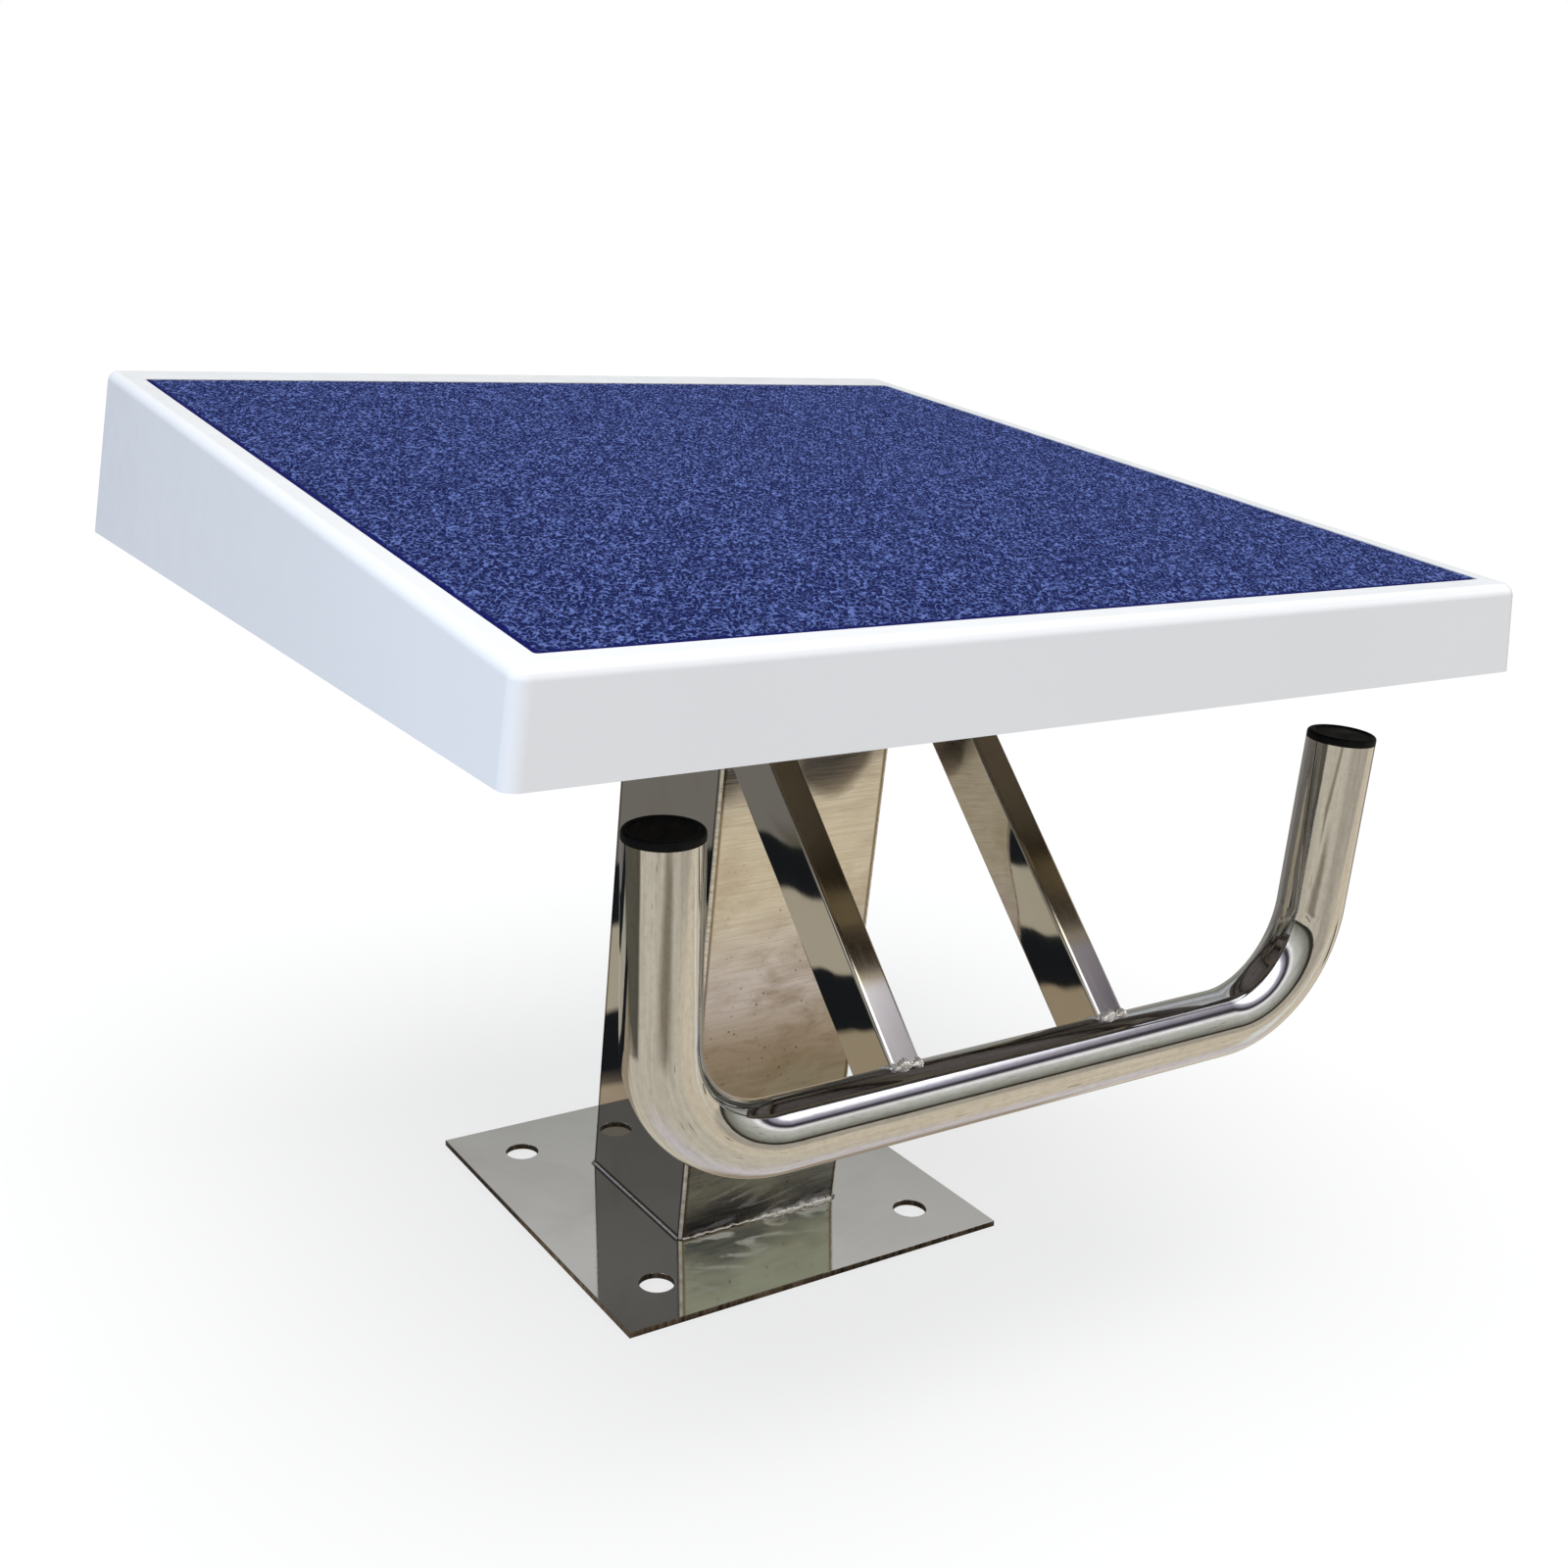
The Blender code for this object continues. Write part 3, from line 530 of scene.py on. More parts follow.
def tube_steel():
    """Polished tube: long streaks that run along it, even round its bends."""
    look = Look("bar_stainless", STEEL_LIGHT, Metallic=1.0, Roughness=0.05)
    look.place = look.add("Attribute", output="Vector", attribute_name="tube_place")
    streaks = look.noise((9, 420, 420), 4.0, 0.65)
    strokes = look.noise((55, 900, 900), 2.0, 0.6)
    grain = look.noise((160, 420, 420), 5.0, 0.8)
    colour = streaks.ramp(0.40, 0.74).blend((0.64, 0.65, 0.67), (0.51, 0.50, 0.49))
    colour = grain.ramp(0.45, 0.66, 0.0, 0.5).blend(colour, (0.44, 0.41, 0.40))
    colour = strokes.ramp(0.68, 0.76).blend(colour, (0.26, 0.22, 0.18))
    cloud = look.noise(24.0, 4.0, 0.6).ramp(0.4, 0.7, 0.0, 0.02)
    rough = streaks.ramp(0.35, 0.7, 0.03, 0.07) + cloud
    waves = look.noise((14, 60, 60), 1.0).bump(0.00005)
    return look.feed(Base_Color=colour, Roughness=rough, Normal=streaks.bump(0.000008, waves))


def mill_steel(name, grain):
    """Unpolished tube and plate with a dull rolled grain."""
    look = Look(name, (0.32, 0.30, 0.27), Metallic=1.0, Roughness=0.42)
    lines = look.noise(grain, 4.0, 0.65)
    cloud = look.noise(14.0, 5.0, 0.6)
    colour = cloud.ramp(0.35, 0.7).blend((0.35, 0.33, 0.30), (0.26, 0.24, 0.21))
    rough = lines.ramp(0.3, 0.75, 0.32, 0.50) + cloud.ramp(0.4, 0.8, 0.0, 0.1)
    return look.feed(Base_Color=colour, Roughness=rough, Normal=lines.bump(0.00002))


def white_gelcoat():
    """Glossy moulded gelcoat: a faint unevenness of tone, and the long ripple of a hand-laid mould."""
    look = Look("white_gelcoat", (0.84, 0.845, 0.855), Roughness=0.22, Coat_Weight=0.25, Coat_Roughness=0.06)
    fine = look.noise(60.0)
    tone = look.noise(3.2, 4.0, 0.55).ramp(0.35, 0.7)
    colour = tone.blend((0.85, 0.855, 0.865), (0.825, 0.83, 0.84))
    ripple = look.noise(11.0, 1.5).bump(0.00025)
    rough = fine.ramp(0.3, 0.7, 0.19, 0.27)
    return look.feed(Base_Color=colour, Roughness=rough, Normal=fine.bump(0.00002, ripple))


def laminate():
    """The rough inner face of the moulding: chopped strands of glass under a dark brown-grey flowcoat."""
    look = Look("glass_laminate", (0.32, 0.28, 0.26), Roughness=0.48)
    ways = ((0.2, 0.1, 0.3), (1.4, 0.7, 1.4), (2.6, 1.3, 2.5))
    layers = [look.noise((70, 900, 900), 2.0, 0.5, 0.4, way).ramp(0.50, 0.66) for way in ways]
    strands = layers[0].most(layers[1]).most(layers[2])
    cloud = look.noise(18.0, 4.0)
    base = cloud.ramp(0.35, 0.7).blend((0.31, 0.27, 0.25), (0.26, 0.23, 0.21))
    colour = strands.blend(base, (0.36, 0.32, 0.30))
    rough = cloud.ramp(0.3, 0.7, 0.38, 0.58)
    return look.feed(Base_Color=colour, Roughness=rough, Normal=(strands + cloud * 1.5).bump(0.0001))


GRIT_LOW = (0.002, 0.006, 0.055)
GRIT_MID = (0.020, 0.034, 0.135)
GRIT_HIGH = (0.105, 0.150, 0.390)
GRIT_BORDER = (0.002, 0.004, 0.085)
GRIT_TURN = radians(33.667)


def blue_grit(middle, half):
    """Coloured grit, with pale crowns, dark hollows and a bare painted border, on a level sheet."""
    look = Look("blue_grit", GRIT_MID, Roughness=0.8, Specular_IOR_Level=0.15)
    x, y, z = look.axes()
    patches = look.noise(28.0)
    look.place = look.stretched((1, 0.55, 0.35), (0, 0, GRIT_TURN))
    worms = abs(look.noise(370.0, 1.0, 0.4, 0.3) - 0.5).ramp(0.01, 0.13, 1.0, 0.0)
    grains = look.cells(360.0).ramp(0.12, 0.60, 1.0, 0.0)
    relief = z.ramp(DECK_PROUD - GRIT_HEIGHT, DECK_PROUD)
    tone = worms * 0.62 + grains * 0.34 + relief * 0.14 + patches.ramp(0.3, 0.7, 0.0, 0.05)
    hollows = tone.ramp(0.32, 0.55).blend(GRIT_LOW, GRIT_MID)
    colour = tone.ramp(0.55, 0.85).blend(hollows, GRIT_HIGH)
    beyond = (abs(x - middle.x) - half.x).most(abs(y - middle.y) - half.y)
    beyond = beyond - look.noise(260.0, 2.0).ramp(0.3, 0.7, -0.0010, 0.0010)
    border = beyond.ramp(-DECK_BORDER - BORDER_SOFTNESS, BORDER_SOFTNESS - DECK_BORDER)
    colour = border.blend(colour, GRIT_BORDER)
    return look.feed(Base_Color=colour, Normal=(grains * 0.5 + worms).bump(0.0006))


def black_plastic():
    look = Look("black_plastic", (0.003, 0.003, 0.003), Roughness=0.5, Specular_IOR_Level=0.06)
    cloud = look.noise(90.0, 4.0)
    colour = cloud.ramp(0.4, 0.7).blend((0.006, 0.006, 0.006), (0.011, 0.011, 0.011))
    rough = cloud.ramp(0.3, 0.7, 0.4, 0.6)
    return look.feed(Base_Color=colour, Roughness=rough, Normal=look.cells(1500.0).bump(0.00006))


def mottled(name, base, texture, span, tones, relief, gloss=None, **values):
    """A material whose tone and relief follow one noise, and its roughness too if it is given."""
    look = Look(name, base, **values)
    marks = look.noise(*texture)
    if gloss:
        look.feed(Roughness=marks.ramp(0.3, 0.7, *gloss))
    return look.feed(Base_Color=marks.ramp(*span).blend(*tones), Normal=marks.bump(relief))


STRUT_TURN = (-STRUT_ANGLE, 0, 0)
MATERIALS = {
    "plate": polished_steel("plate_stainless", (700, 30, 700), 0.05, 0.04, 6.0, 0.0003, lines=painted_foot_shade),
    "post": polished_steel("post_stainless", (700, 700, 26), wave=0.00022, lines=painted_seam_reflection_and_foot_shade),
    "post_front": brushed_front(),
    "strut": polished_steel("strut_stainless", (900, 30, 900), 0.03, wave=0.0001, turn=STRUT_TURN, bow=0.03),
    "strut_narrow": polished_steel(
        "strut_narrow_stainless", (900, 30, 900), 0.12, 0.06, turn=STRUT_TURN, lines=painted_underside_reflection
    ),
    "bar": tube_steel(),
    # Ground flush and left pale and matt, with short marks of the wheel across it
    "seam": mottled(
        "seam_stainless", (0.80, 0.74, 0.62), ((60, 60, 500),), (0.4, 0.7),
        ((0.84, 0.78, 0.66), (0.52, 0.46, 0.37)), 0.00003, Metallic=0.6, Roughness=0.3,
    ),
    # Sheared and cut edges of sheet: darker, with upright striations
    "edge": mottled(
        "cut_stainless", (0.14, 0.11, 0.09), ((260, 260, 30), 4.0, 0.7), (0.38, 0.66),
        ((0.06, 0.045, 0.035), (0.26, 0.22, 0.18)), 0.00008, Metallic=1.0, Roughness=0.42,
    ),
    "rail": mill_steel("rail_stainless", (700, 30, 700)),
    "end_rail": mill_steel("end_rail_stainless", (30, 700, 700)),
    "head": mill_steel("head_stainless", (30, 700, 700)),
    # Bright, with a little heat tint in its hollows
    "weld": mottled(
        "weld_metal", (0.96, 0.94, 0.91), (260.0,), (0.52, 0.72),
        ((0.98, 0.96, 0.93), (0.48, 0.42, 0.35)), 0.0002, (0.12, 0.32), Metallic=0.75, Roughness=0.22,
    ),
    "fastener": mottled(
        "fastener_stainless", (0.55, 0.55, 0.55), (220.0,), (0.35, 0.7),
        ((0.60, 0.60, 0.59), (0.44, 0.43, 0.42)), 0.00004, (0.2, 0.38), Metallic=1.0, Roughness=0.28,
    ),
    "brass": mottled(
        "insert_brass", (0.72, 0.55, 0.25), (200.0,), (0.35, 0.7),
        ((0.74, 0.57, 0.27), (0.50, 0.35, 0.15)), 0.00004, Metallic=1.0, Roughness=0.33,
    ),
    "gelcoat": white_gelcoat(),
    "laminate": laminate(),
    "cap": black_plastic(),
}


# Meshes

def loft(rings, closed=False, capped=True):
    """A skin through rings of equally many points, capped at its ends or closed on itself."""
    shape = bmesh.new()
    loops = [[shape.verts.new(point) for point in points] for points in rings]
    pairs = list(zip(loops, loops[1:]))
    if closed:
        pairs.append((loops[-1], loops[0]))
    elif capped:
        shape.faces.new(loops[0][::-1])
        shape.faces.new(loops[-1])
    for lower, upper in pairs:
        for i in range(len(lower)):
            j = (i + 1) % len(lower)
            shape.faces.new((lower[i], lower[j], upper[j], upper[i]))
    return shape


def prism(walls, bottom, top):
    """A block inside its walls' planes, given in turn, and its edges that run from bottom to top."""
    corners = list(zip(walls, walls[1:] + walls[:1]))
    shape = loft([[meet(a, b, level) for a, b in corners] for level in (bottom, top)])
    shape.verts.ensure_lookup_table()
    lower = shape.verts[:len(walls)]
    upper = shape.verts[len(walls):]
    return shape, [shape.edges.get(pair) for pair in zip(lower, upper)]


def box(low, high):
    """An upright block between two opposite corners."""
    walls = [plane(low, -X_AXIS), plane(low, -Y_AXIS), plane(high, X_AXIS), plane(high, Y_AXIS)]
    return prism(walls, plane(low, -Z_AXIS), plane(high, Z_AXIS))


def round_edges(shape, edges, radius, steps):
    bmesh.ops.bevel(shape, geom=edges, offset=radius, segments=steps, profile=0.5, affect="EDGES")


def turned(profile, sides):
    """A shape turned about the Z axis from (radius, height) pairs."""
    turns = circle_turns(sides)
    return loft([[Vector((radius * cos(a), radius * sin(a), z)) for a in turns] for radius, z in profile])


def cylinder(radius, low, high):
    return turned([(radius, low), (radius, high)], HOLE_SIDES)


def ring(centre, radius, first, second, sides):
    """Points on a circle that two unit vectors span."""
    return [centre + radius * (cos(turn) * first + sin(turn) * second) for turn in circle_turns(sides)]


def moved(shape, matrix):
    bmesh.ops.transform(shape, matrix=matrix, verts=shape.verts)
    return shape


def joined(shapes):
    """Several shapes in one mesh, for use as a cutter or an addition."""
    whole = bmesh.new()
    for shape in shapes:
        part = bpy.data.meshes.new("joined")
        shape.to_mesh(part)
        shape.free()
        whole.from_mesh(part)
        bpy.data.meshes.remove(part)
    return whole


def drills(radius, low, high, xs, ys):
    """Upright cylinders at each pair of an x and a y, as one cutter."""
    spots = [Matrix.Translation((x, y, 0)) for x in xs for y in ys]
    return joined([moved(cylinder(radius, low, high), spot) for spot in spots])


def as_piece(name, data, place):
    piece = bpy.data.objects.new(name, data)
    piece.matrix_world = place
    bpy.context.collection.objects.link(piece)
    return piece


def new_object(name, shape, place=Matrix.Identity(4)):
    bmesh.ops.recalc_face_normals(shape, faces=shape.faces)
    mesh = bpy.data.meshes.new(name)
    shape.to_mesh(mesh)
    shape.free()
    return as_piece(name, mesh, place)


def carve(piece, shape, operation="DIFFERENCE", place=Matrix.Identity(4)):
    """Cuts a shape from a piece, or adds it, and keeps the result as the piece's mesh."""
    tool = new_object("tool", shape, place)
    modifier = piece.modifiers.new("carve", "BOOLEAN")
    modifier.operation = operation
    modifier.object = tool
    modifier.solver = "EXACT"
    bpy.context.view_layer.update()
    result = bpy.data.meshes.new_from_object(piece.evaluated_get(bpy.context.evaluated_depsgraph_get()))
    piece.modifiers.remove(modifier)
    piece.data = result
    bpy.data.objects.remove(tool)


def soften(piece, width, steps=2, angle=40):
    """A small rounding on a piece's hard edges."""
    bevel = piece.modifiers.new("soften", "BEVEL")
    bevel.width = width
    bevel.segments = steps
    bevel.limit_method = "ANGLE"
    bevel.angle_limit = radians(angle)


def paint(piece, *materials):
    piece.data.materials.clear()
    for material in materials:
        piece.data.materials.append(MATERIALS[material])


def attach(piece, stands_for=None):
    """Lets a piece ride with the block, in place of a CAD node where it stands for one."""
    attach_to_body(piece, "root")
    if stands_for:
        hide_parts(stands_for)


def dress(piece, materials, stands_for=None):
    """Shades a piece smooth between its sharp edges, and gives it its materials."""
    piece.data.shade_smooth()
    piece.data.set_sharp_from_angle(angle=SMOOTH_ANGLE)
    paint(piece, *materials)
    weighted = piece.modifiers.new("weighted_normals", "WEIGHTED_NORMAL")
    weighted.keep_sharp = True
    attach(piece, stands_for)


def refined(node, material, edge):
    """A CAD node's own shape with merged corners, clean faces and softened edges."""
    shape = bmesh.new()
    shape.from_mesh(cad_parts[node].data)
    bmesh.ops.remove_doubles(shape, verts=shape.verts, dist=MERGE_DISTANCE)
    bmesh.ops.dissolve_limit(shape, angle_limit=radians(1), verts=shape.verts, edges=shape.edges)
    piece = new_object(f"{node}_skin", shape)
    soften(piece, edge)
    dress(piece, [material], node)


# Floor plate

def make_plate():
    """The plate with round holes and slightly broken edges, cut faces darker than its polished face."""
    low = Vector((-BASE_HALF, -BASE_HALF, 0))
    shape, _ = box(low, Vector((BASE_HALF, BASE_HALF, BASE_THICKNESS)))
    plate = new_object("base_plate_skin", shape)
    reach = BASE_HALF - ANCHOR_EDGE_DISTANCE
    carve(plate, drills(ANCHOR_HOLE_RADIUS, -CUT_MARGIN, CUT_MARGIN, (-reach, reach), (-reach, reach)))
    soften(plate, PLATE_EDGE_RADIUS, 3, 60)
    dress(plate, ["plate", "edge"], "base_plate")
    for face in plate.data.polygons:
        face.material_index = 0 if abs(face.normal.z) > 0.9 else 1


# Post

def make_post():
    """The CAD panels keep their shape. Ground and polished weld seams round their corners."""
    for side in ("front", "right", "rear", "left"):
        paint(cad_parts[f"column_{side}"], "post_front" if side == "front" else "post")
    leg = COLUMN_CORNER_FLAT / sqrt(2)
    for end, forward in (("front", COLUMN_FORWARD), ("rear", -COLUMN_FORWARD)):
        for name, side in SIDES:
            outward = side * X_AXIS
            centre = (forward + outward) * (COLUMN_HALF - leg)
            turns = arc_turns(0, pi / 2, CORNER_STEPS)
            outline = [centre + leg * (cos(a) * forward + sin(a) * outward) for a in turns]
            outline.append(centre + leg * (forward + outward) * 0.3)
            rings = [
                [crossing(COLUMN_FOOT + point, COLUMN_DIRECTION, flat) for point in outline]
                for flat in (FOOT_PLANE, HEAD_SEAT_PLANE)
            ]
            dress(new_object(f"column_seam_{end}_{name}", loft(rings)), ["seam"])


# Welds

def lengths_along(path):
    """How far each of a path's points lies from its start, along the path."""
    lengths = [0.0]
    for before, after in zip(path, path[1:]):
        lengths.append(lengths[-1] + (after - before).length)
    return lengths


def bead(name, path, radius, seed, ripple=0.16, wander=0.00012, swell=lambda share: 1.0):
    """A weld bead: overlapping puddles along a path, a little uneven in width and course."""
    lengths = lengths_along(path)
    total = lengths[-1]
    count = max(6, int(total / WELD_STEP))
    rings = []
    for k in range(count + 1):
        travel = total * k / count
        i = max(j for j in range(len(lengths) - 1) if lengths[j] <= travel + 1e-9)
        point = path[i].lerp(path[i + 1], (travel - lengths[i]) / (lengths[i + 1] - lengths[i]))
        along = (path[i + 1] - path[i]).normalized()
        side = along.cross(Z_AXIS if abs(along.z) < 0.9 else X_AXIS).normalized()
        up = side.cross(along)
        puddle = 1 - (2 * (travel / WELD_PITCH % 1) - 1) ** 2
        drift = noise.noise(Vector((travel * 130, seed, 0)))
        shake = noise.noise(Vector((travel * 200, seed, 5)))
        taper = min(1.0, 0.35 + 900 * min(travel, total - travel))
        size = radius * taper * (1 - ripple + ripple * puddle + 1.4 * ripple * drift) * swell(travel / total)
        rings.append(ring(point + wander * 4 * shake * up, size, side, up, WELD_SIDES))
    dress(new_object(name, loft(rings)), ["weld"])


def smooth_step(value, low, high):
    share = min(1.0, max(0.0, (value - low) / (high - low)))
    return share * share * (3 - 2 * share)


def post_corner(first, second, flat):
    """Where a sharp corner of the post meets a plane, moved a little outwards along both faces."""
    offset = (first + second) * (COLUMN_HALF + POST_BEAD_OFFSET)
    return crossing(COLUMN_FOOT + offset, COLUMN_DIRECTION, flat)


# Beads that differ from the rest: heavier to one end in front, and slighter behind and on the left
FOOT_BEADS = {
    "weld_foot_front": {
        "ripple": 0.3, "wander": 0.0004, "swell": lambda share: 0.55 + 0.9 * smooth_step(share, 0.35, 0.6)
    },
    "weld_foot_rear": {"swell": lambda share: 0.6},
    "weld_foot_left": {"ripple": 0.02, "wander": 0.0, "swell": lambda share: 0.55},
}


def make_post_welds():
    """Fillet beads all round the post, at the floor plate and at the head plate."""
    faces = (
        ("front", COLUMN_FORWARD, X_AXIS),
        ("rear", -COLUMN_FORWARD, X_AXIS),
        ("left", -X_AXIS, -COLUMN_FORWARD),
        ("right", X_AXIS, -COLUMN_FORWARD),
    )
    levels = (("foot", FOOT_PLANE, POST_FOOT_BEAD), ("head", HEAD_SEAT_PLANE, POST_HEAD_BEAD))
    for level, flat, radius in levels:
        for number, (face, outward, across) in enumerate(faces):
            start = post_corner(outward, -across, flat)
            end = post_corner(outward, across, flat)
            path = [start.lerp(end, share) for share in POST_BEAD_ENDS]
            name = f"weld_{level}_{face}"
            bead(name, path, radius, 11 * number + radius * 1e4, **FOOT_BEADS.get(name, {}))


# Moulded top

def wedge(inset, drop, below):
    """The top's tapering block, drawn in from its sides and its surface and lengthened below its rim."""
    walls = [shifted(wall, -inset) for wall in SKIN_PLANES]
    bottom = (-RIM_PLANE[0], -RIM_PLANE[1] + below)
    return prism(walls, bottom, shifted(TOP_PLANE, -drop))


def deck_outline(clearance):
    """The deck's low and high corner in the top's frame, drawn in by a clearance."""
    low = Vector((-TOP_HALF_WIDTH + DECK_SIDE_MARGIN, -TOP_HALF_LENGTH + DECK_FRONT_MARGIN, 0))
    high = Vector((TOP_HALF_WIDTH - DECK_SIDE_MARGIN, TOP_HALF_LENGTH - DECK_REAR_MARGIN, 0))
    draw = Vector((clearance, clearance, 0))
    return low + draw, high - draw


def make_shell():
    """The skirted moulding: gelcoat outside, bare laminate and frame pads inside."""
    shape, uprights = wedge(0, 0, 0)
    round_edges(shape, uprights, CORNER_RADIUS, CORNER_STEPS)
    surface = max(shape.faces, key=lambda face: face.calc_center_median().dot(TOP_PLANE[0]))
    round_edges(shape, list(surface.edges), TOP_EDGE_RADIUS, EDGE_STEPS)
    shell = new_object("top_shell_skin", shape)

    hollow, uprights = wedge(SKIRT_THICKNESS, PANEL_THICKNESS, CUT_MARGIN)
    round_edges(hollow, uprights, CORNER_RADIUS - SKIRT_THICKNESS, CORNER_STEPS)
    carve(shell, hollow)

    low, high = deck_outline(0)
    recess, uprights = box(low - DECK_RECESS * Z_AXIS, high + CUT_MARGIN * Z_AXIS)
    round_edges(recess, uprights, DECK_CORNER_RADIUS, CORNER_STEPS)
    carve(shell, recess, place=TOP_FRAME)

    half = PAD_SIDE / 2
    pads = [
        box(Vector((x - half, y - half, PAD_BOTTOM)), Vector((x + half, y + half, PAD_TOP)))[0]
        for x in (-SIDE_RAIL_X, -STRUT_X, STRUT_X, SIDE_RAIL_X)
        for y in PAD_YS
    ]
    carve(shell, joined(pads), "UNION", TOP_FRAME)
    bottom = PAD_BOTTOM - CUT_MARGIN
    top = PAD_BOTTOM + INSERT_HOLE_DEPTH
    holes = drills(INSERT_HOLE_RADIUS, bottom, top, (-SIDE_RAIL_X, SIDE_RAIL_X), PAD_YS)
    carve(shell, holes, place=TOP_FRAME)

    dress(shell, ["gelcoat", "laminate"], "top_shell")
    for face in shell.data.polygons:
        nearest = max((*SKIN_PLANES, TOP_PLANE), key=lambda wall: height_over(wall, face.center))
        inward = face.normal.dot(nearest[0]) < -0.3
        face.material_index = 1 if inward or height_over(nearest, face.center) < 0.94 * PANEL_BOTTOM else 0


def make_deck():
    """The anti-slip sheet as a grid of uneven grit, level with its frame and rounded at its corners."""
    low, high = deck_outline(JOINT_GAP)
    middle = (low + high) / 2
    half = (high - low) / 2
    centre, reach = (np.array(vector.xy).reshape(2, 1, 1) for vector in (middle, half))
    columns, rows = (int(round(2 * side / GRIT_PITCH)) for side in half.xy)
    grid = reach * np.stack(np.meshgrid(np.linspace(-1, 1, columns + 1), np.linspace(-1, 1, rows + 1)))
    draw = np.random.RandomState(7)
    height = draw.uniform(0, 1, grid[0].shape)
    broad = draw.uniform(-1, 1, grid[0].shape)
    for _ in range(3):
        broad = (broad + np.roll(broad, 1, 0) + np.roll(broad, 1, 1) + np.roll(broad, -1, 0)) / 4
    shift = draw.uniform(-GRIT_JITTER, GRIT_JITTER, grid.shape)
    edge = np.min(reach - np.abs(grid), 0)
    inside = np.clip(edge / (1.5 * GRIT_PITCH), 0, 1)
    grid = grid + shift * (edge > GRIT_PITCH)
    z = DECK_PROUD - GRIT_HEIGHT + GRIT_HEIGHT * np.clip(0.15 + 0.75 * height + 0.5 * broad, 0, 1) * inside

    over = np.maximum(np.abs(grid) - reach + DECK_CORNER_RADIUS, 0)
    pull = 1 - DECK_CORNER_RADIUS / np.maximum(np.hypot(*over), DECK_CORNER_RADIUS)
    grid = grid - np.sign(grid) * over * pull + centre

    points = np.stack([*grid, z], -1).reshape(-1, 3)
    index = np.arange(len(points)).reshape(z.shape)
    quads = np.stack([index[:-1, :-1], index[:-1, 1:], index[1:, 1:], index[1:, :-1]], -1).reshape(-1, 4)
    rim = np.concatenate([index[0, :-1], index[:-1, -1], index[-1, :0:-1], index[:0:-1, 0]])
    foot = points[rim]
    foot[:, 2] = JOINT_GAP - DECK_RECESS
    under = len(points) + np.arange(len(rim))
    skirt = np.stack([np.roll(rim, -1), rim, under, np.roll(under, -1)], -1)
    faces = [*quads.tolist(), *skirt.tolist(), under[::-1].tolist()]

    mesh = bpy.data.meshes.new("antislip_deck_grit")
    mesh.from_pydata([*points.tolist(), *foot.tolist()], [], faces)
    mesh.shade_smooth()
    mesh.materials.append(blue_grit(middle, half))
    attach(as_piece("antislip_deck_grit", mesh, TOP_FRAME), "antislip_deck")


# Struts

def strut_block(x, inset, foot_distance, top):
    """A slanted block about the strut's axis, drawn in by the inset on its four long faces."""
    half_width = STRUT_WIDTH / 2 - inset
    half_depth = STRUT_DEPTH / 2 - inset
    walls = [
        plane((x - half_width, 0, 0), -X_AXIS),
        plane(STRUT_FOOT + STRUT_UPPER_FACE * half_depth, STRUT_UPPER_FACE),
        plane((x + half_width, 0, 0), X_AXIS),
        plane(STRUT_FOOT - STRUT_UPPER_FACE * half_depth, -STRUT_UPPER_FACE),
    ]
    return prism(walls, plane(STRUT_FOOT + STRUT_DIRECTION * foot_distance, -STRUT_DIRECTION), top)


def make_struts():
    """Rectangular tubes with rounded edges, coped around the hand bar and welded to it."""
    for name, side in SIDES:
        x = side * STRUT_X
        shape, uprights = strut_block(x, 0, STRUT_FOOT_SETBACK, HEAD_SEAT_PLANE)
        round_edges(shape, uprights, STRUT_EDGE_RADIUS, 6)
        strut = new_object(f"strut_{name}_skin", shape)
        bore, uprights = strut_block(x, STRUT_WALL, -CUT_MARGIN, shifted(HEAD_SEAT_PLANE, CUT_MARGIN))
        round_edges(bore, uprights, STRUT_EDGE_RADIUS - STRUT_WALL, 3)
        carve(strut, bore)
        reach = STRUT_WIDTH / 2 + CUT_MARGIN
        saddle = cylinder(BAR_RADIUS + JOINT_GAP, -reach, reach)
        carve(strut, moved(saddle, placed((x, BAR_CENTRE.y, BAR_CENTRE.z), pi / 2, "Y")))
        dress(strut, ["strut", "strut_narrow"], f"strut_{name}")
        for face in strut.data.polygons:
            face.material_index = 0 if abs(face.normal.x) > 0.7 else 1
        make_strut_welds(name, x)


def on_bar(x, upright):
    """A point on the hand bar's straight stretch, turned from straight up towards the pool."""
    return Vector((x, BAR_CENTRE.y - BAR_RADIUS * sin(upright), BAR_CENTRE.z + BAR_RADIUS * cos(upright)))


def strut_meets_bar(depth):
    """The turn on the bar where a line along the strut, this far from its axis, meets the bar."""
    start = STRUT_FOOT + STRUT_UPPER_FACE * depth - BAR_CENTRE
    along = start.dot(STRUT_DIRECTION)
    across = (start - along * STRUT_DIRECTION).length
    travel = -along + sqrt(max(BAR_RADIUS ** 2 - across ** 2, 0))
    hit = start + travel * STRUT_DIRECTION
    return atan2(-hit.y, hit.z)


